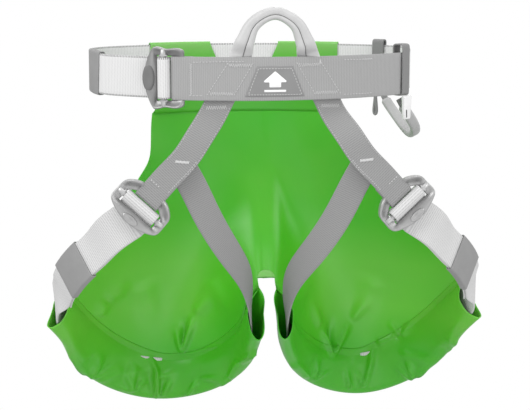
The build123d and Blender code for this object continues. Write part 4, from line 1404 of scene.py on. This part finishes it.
def slab(name, outline, thickness, place, across, upward, outward, material, rounding=0.8):
    """A flat plate from an outline of (across, up), with softened edges."""
    outline = np.array(outline, float)
    middle = outline.mean(0)
    rows = []
    for inset, lift in ((rounding, thickness / 2), (rounding * 0.3, thickness / 2 - rounding * 0.3),
                        (0, thickness / 2 - rounding), (0, -thickness / 2 + rounding),
                        (rounding * 0.3, -thickness / 2 + rounding * 0.3), (rounding, -thickness / 2)):
        pull = unit(outline - middle) * inset
        flat = outline - pull
        rows.append(place + flat[:, :1] * across + flat[:, 1:] * upward + outward * lift)
    rings = np.array(rows)
    return new_object(name, rings, tube_faces(*rings.shape[:2]), material)


def rounded_outline(corners, radius, steps=5):
    """A closed outline with rounded corners."""
    corners = [np.array(c, float) for c in corners]
    middle = (corners[0] + corners[-1]) / 2
    return bend([middle] + corners + [middle], radius, steps)[:-1]


tag_rise = 3.6


def make_tag():
    origin, ray, along = belt_axes(front_hanger_normal, 3.6, pivot_z + tag_rise)
    across = -along
    outline = rounded_outline([(-6.8, 1.2), (6.8, 1.2), (5.2, -24), (-5.2, -24)], 1.8)
    body = slab("tag_body", outline, 4.2, origin, across, up, ray, tag_plastic, 1.3)
    # Painted shade: a dark plate set into the tag stands for the shade inside its slot.
    slot = rounded_outline([(-3.6, -13.5), (-1.6, -13.5), (-1.2, -22), (-2.9, -22)], 0.8)
    inset = slab("tag_slot", slot, 4.6, origin, across, up, ray, painted_slot_shade, 0.3)
    finish_piece(body, "tool_tag", ("tool_tag",))
    finish_piece(inset, "tool_tag", ())


make_tag()

# ================= tie-in loop =================
loop_y = oval_point(270, -3.2)[1]
loop_base_z = 26.5
arch_half = [(33, 0, 21.5), (31.5, 6, 20), (29, 12.6, 18), (23.5, 25, 15), (13.5, 34, 13.5)]
arch_top = (0, 38.5, 13)
arch_feet = [(35.5, -9, 23), (36.5, -14, 23.5)]     # where the sheath flattens in behind the belt
sheath_depth, sheath_foot_depth = 15.0, 2.4
seam_share = -0.09


def arch_route():
    half = arch_feet[::-1] + arch_half
    stops = [(-x, z, t) for x, z, t in half] + [arch_top] + [(x, z, t) for x, z, t in reversed(half)]
    points = np.array([(x, loop_y, loop_base_z + z) for x, z, _ in stops])
    knots = lengths_along(points)
    at = np.linspace(0, knots[-1], 200)
    dense = cubic(knots, np.hstack((points, np.array([[t] for _, _, t in stops]))), at)
    behind = np.array([oval_point(oval_normal_at(x), -3.3)[1] for x in dense[:, 0]])
    sunk = 1 - smooth_step(23.5, 36, dense[:, 2])
    dense[:, 1] += (behind - loop_y) * sunk
    route = Route(dense[:, :3], np.tile((0.0, -1.0, 0.0), (len(dense), 1)), spacing=1.2, curved=False)
    thick = np.interp(route.marks / route.length, at / knots[-1], dense[:, 3])
    return route, thick


def sheath_outline():
    """Half sizes of 1: an outer lobe, a groove on both faces and an inner bead."""
    lobe = [(0.0, 1.0)]
    outer = [(seam_share * 2 + 0.06, 0.93), (0.15, 0.99), (0.5, 0.98), (0.8, 0.86), (0.95, 0.58), (1, 0.2)]
    bead = [(-1, 0.25), (-0.93, 0.66), (-0.75, 0.92), (-0.5, 1.0), (seam_share * 2 - 0.16, 0.97),
            (seam_share * 2 - 0.05, 0.9), (seam_share * 2, 0.8)]
    upper = bead + outer
    return np.array(upper + [(x, -y) for x, y in reversed(upper)])


def make_tie_in_loop():
    route, thick = arch_route()
    outline = sheath_outline()
    heights = route.points[:, 2]
    depth = sheath_foot_depth + (sheath_depth - sheath_foot_depth) * smooth_step(23, 36, heights)
    sections = outline[None] * np.stack((thick / 2, depth / 2), 1)[:, None, :]
    rings = swept(route, sections)
    sheath = new_object("tie_in_loop_skin", rings, tube_faces(*rings.shape[:2]), sheath_plastic)
    seams = []
    for face in (-1, 1):
        middle = route.points + route.across * (thick * seam_share)[:, None]
        middle = middle + route.outward * (face * (depth * 0.5 * 0.86))[:, None]
        seams.append(tube("seam", middle, 0.45, seam_dark, steps=6))
    seam = joined("tie_in_loop_seam", seams)
    for piece, nodes in ((sheath, ("tie_in_loop_sheath", "tie_in_loop_webbing")), (seam, ())):
        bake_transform(piece)
        if nodes:
            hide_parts(*nodes)


make_tie_in_loop()

# ================= patch that marks the tie-in point =================
patch_low, patch_high, patch_half_low, patch_half_high = -18.0, 12.5, 30.5, 18.2


def on_belt(x, z, lift):
    """A point in front of the front belt, and the outward direction there."""
    normal = oval_normal_at(x)
    return oval_point(normal, lift, z), oval_ray(normal)


def belt_plate(name, outline, low, high, material):
    """A plate on the belt's curve from an outline of (x, z), with a softened upper edge."""
    outline = np.array(outline, float)
    middle = outline.mean(0)
    rows = []
    for inset, lift in ((0, low), (0, high - 0.3), (0.35, high)):
        flat = outline - unit(outline - middle) * inset
        rows.append([on_belt(x, z, lift)[0] for x, z in flat])
    rings = np.array(rows)
    count, size = rings.shape[:2]
    faces = grid_faces(count, size, closed=True) + [tuple(range((count - 1) * size, count * size))]
    return new_object(name, rings, faces, material)


def make_patch():
    columns, rows = 49, 25
    grid = []
    for share in np.linspace(0, 1, rows):
        z = patch_low + (patch_high - patch_low) * share
        half = patch_half_low + (patch_half_high - patch_half_low) * share
        row = []
        for x in np.linspace(-half, half, columns):
            rim = min(half - abs(x), z - patch_low, patch_high - z)
            row.append(on_belt(x, z, 0.15 + 1.1 * smooth_step(-0.1, 1.6, rim))[0])
        grid.append(row)
    patch = new_object("attachment_patch_cloth", np.array(grid), grid_faces(rows, columns), patch_cloth)
    finish_piece(patch, "harness", ("attachment_patch",))
    arrow = rounded_outline([(0, 7.8), (11.6, -2.2), (10.8, -3.4), (5.9, -3.4), (5.9, -8.4), (-5.9, -8.4),
                             (-5.9, -3.4), (-10.8, -3.4), (-11.6, -2.2)], 0.9, 4)
    bar = rounded_outline([(-11, -10.9), (11, -10.9), (11, -13.1), (-11, -13.1)], 0.8, 4)
    finish_piece(belt_plate("patch_arrow", arrow, 1.0, 1.75, print_white), "harness", ())
    finish_piece(belt_plate("patch_bar", bar, 1.0, 1.7, print_white), "harness", ())


make_patch()

# ================= stitching =================
class Thread:
    """Collects stitches, each a small bead that lies on a surface, into one mesh."""

    def __init__(self):
        self.vertices, self.faces = [], []

    def stitch(self, first, last, outward, thick=0.42):
        first, last = np.array(first, float), np.array(last, float)
        along = unit(last - first)
        across = unit(np.cross(outward, along))
        start = len(self.vertices)
        for share, size in ((0, 0.25), (0.15, 0.85), (0.5, 1.0), (0.85, 0.85), (1, 0.25)):
            middle = first + (last - first) * share
            for angle in range(0, 360, 60):
                t = math.radians(angle)
                self.vertices.append(middle + (across * math.cos(t) + outward * math.sin(t)) * thick * size)
        self.faces += grid_faces(5, 6, start=start, closed=True)
        self.faces += [tuple(start + k for k in range(6))[::-1], tuple(start + 24 + k for k in range(6))]

    def row(self, place, start, end, stitch=2.1, space=1.0, thick=0.42):
        """Running stitch; place(u, v) gives a point and the outward direction."""
        start, end = np.array(start, float), np.array(end, float)
        length = np.linalg.norm(end - start)
        count = max(1, int(length / (stitch + space)))
        for k in range(count):
            a = start + (end - start) * (k / count)
            b = start + (end - start) * ((k + stitch / (stitch + space)) / count)
            (first, out), (last, _) = place(*a), place(*b)
            self.stitch(first, last, out, thick)

    def tack(self, place, start, end, width, pitch=1.1, thick=0.36):
        """A bar tack: a close zigzag along a line."""
        start, end = np.array(start, float), np.array(end, float)
        run = end - start
        length = np.linalg.norm(run)
        sideways = np.array((-run[1], run[0])) / length * width / 2
        count = int(length / pitch)
        corners = [start + run * k / count + sideways * (1 if k % 2 else -1) for k in range(count + 1)]
        for a, b in zip(corners, corners[1:]):
            (first, out), (last, _) = place(*a), place(*b)
            self.stitch(first, last, out, thick)

    def make(self, name, material, slot):
        made = new_object(name, self.vertices, self.faces, material)
        finish_piece(made, "harness", ())
        return made


belt_thread_lift, patch_thread_lift = 0.16, 1.32


def belt_face(x, z):
    return on_belt(x, z, belt_thread_lift)


def strap_face(route, lift=webbing / 2 + 0.12):
    """place(u, v) on a strap: millimetres along and across it."""
    return lambda along, across: route.at(along, across, lift)


def patch_border(x, z):
    return on_belt(x, z, patch_thread_lift)


def stitch_belt():
    thread = Thread()
    thread.tack(belt_face, (-84, 15), (-84, -16), 2.6)
    thread.row(belt_face, (-82, 16.5), (-30, 17.5))
    thread.row(belt_face, (-86, -17), (-72, -17))
    for side in (-1, 1):
        top, low = 14.5, -15.5
        inner_top, outer_top, inner_low, outer_low = 22, 47, 42, 69
        thread.row(belt_face, (side * outer_top, top + 1.5), (side * outer_low, low - 2))
        thread.row(belt_face, (side * inner_top, top + 1.5), (side * inner_low, low - 2))
        bars = ((inner_top + 1.5, outer_top - 1, top - 1), (inner_low, outer_low - 4, low + 0.5))
        for start, end, z in bars:
            thread.tack(belt_face, (side * start, z), (side * end, z), 3.6)
    for z in (17.5, -17.5):
        thread.row(belt_face, (72, z), (104, z))
    thread.tack(belt_face, (92, 17.3), (103, 17.3), 1.8)
    edge = 2.2
    low, high = patch_low + edge, patch_high - edge
    slope = (patch_half_low - patch_half_high) / (patch_high - patch_low)
    half_low = patch_half_low - edge * 1.25 - slope * edge
    half_high = patch_half_high - edge * 1.05 + slope * edge
    corners = [(-half_low, low), (half_low, low), (half_high, high), (-half_high, high), (-half_low, low)]
    pale = Thread()
    for a, b in zip(corners, corners[1:]):
        pale.row(patch_border, a, b, stitch=1.7, space=1.1, thick=0.34)
    thread.make("belt_stitching", tack_thread, "grey_webbing")
    pale.make("patch_stitching", pale_thread, "patch_fabric")


def stitch_riser(side, hand):
    route = riser_routes[side]
    place = strap_face(route)
    thread, pale = Thread(), Thread()
    below_belt = 41.0
    lip = np.linalg.norm(route.points - leg_place(side).point(sewn_leaves_at, 0, sewn_level), axis=1).argmin()
    end = route.marks[lip] + 4
    for across in (-12.6, 12.6):
        thread.row(place, (below_belt - 6, across), (end - 24, across), stitch=1.9, space=1.2, thick=0.32)
    thread.tack(place, (below_belt - side * 5, -9), (below_belt + side * 5, 9), 4.2)
    junction = end - 34
    pale.tack(place, (junction - side * 4, -5.5), (junction + side * 4, 5.5), 3.2, pitch=0.7, thick=0.5)
    outer = -11 * (1 if side < 0 else -1)
    foot = end
    pale.row(place, (foot, outer), (foot, -outer * 0.15), stitch=1.7, space=1.1, thick=0.42)
    pale.row(place, (foot - 2, -outer), (junction - 10, -outer), stitch=1.6, space=1.2, thick=0.34)
    thread.make(f"{hand}_riser_stitching", tack_thread, "grey_webbing")
    pale.make(f"{hand}_riser_tacks", pale_thread, "grey_webbing")


stitch_belt()
for side, hand in ((-1, "left"), (1, "right")):
    stitch_riser(side, hand)
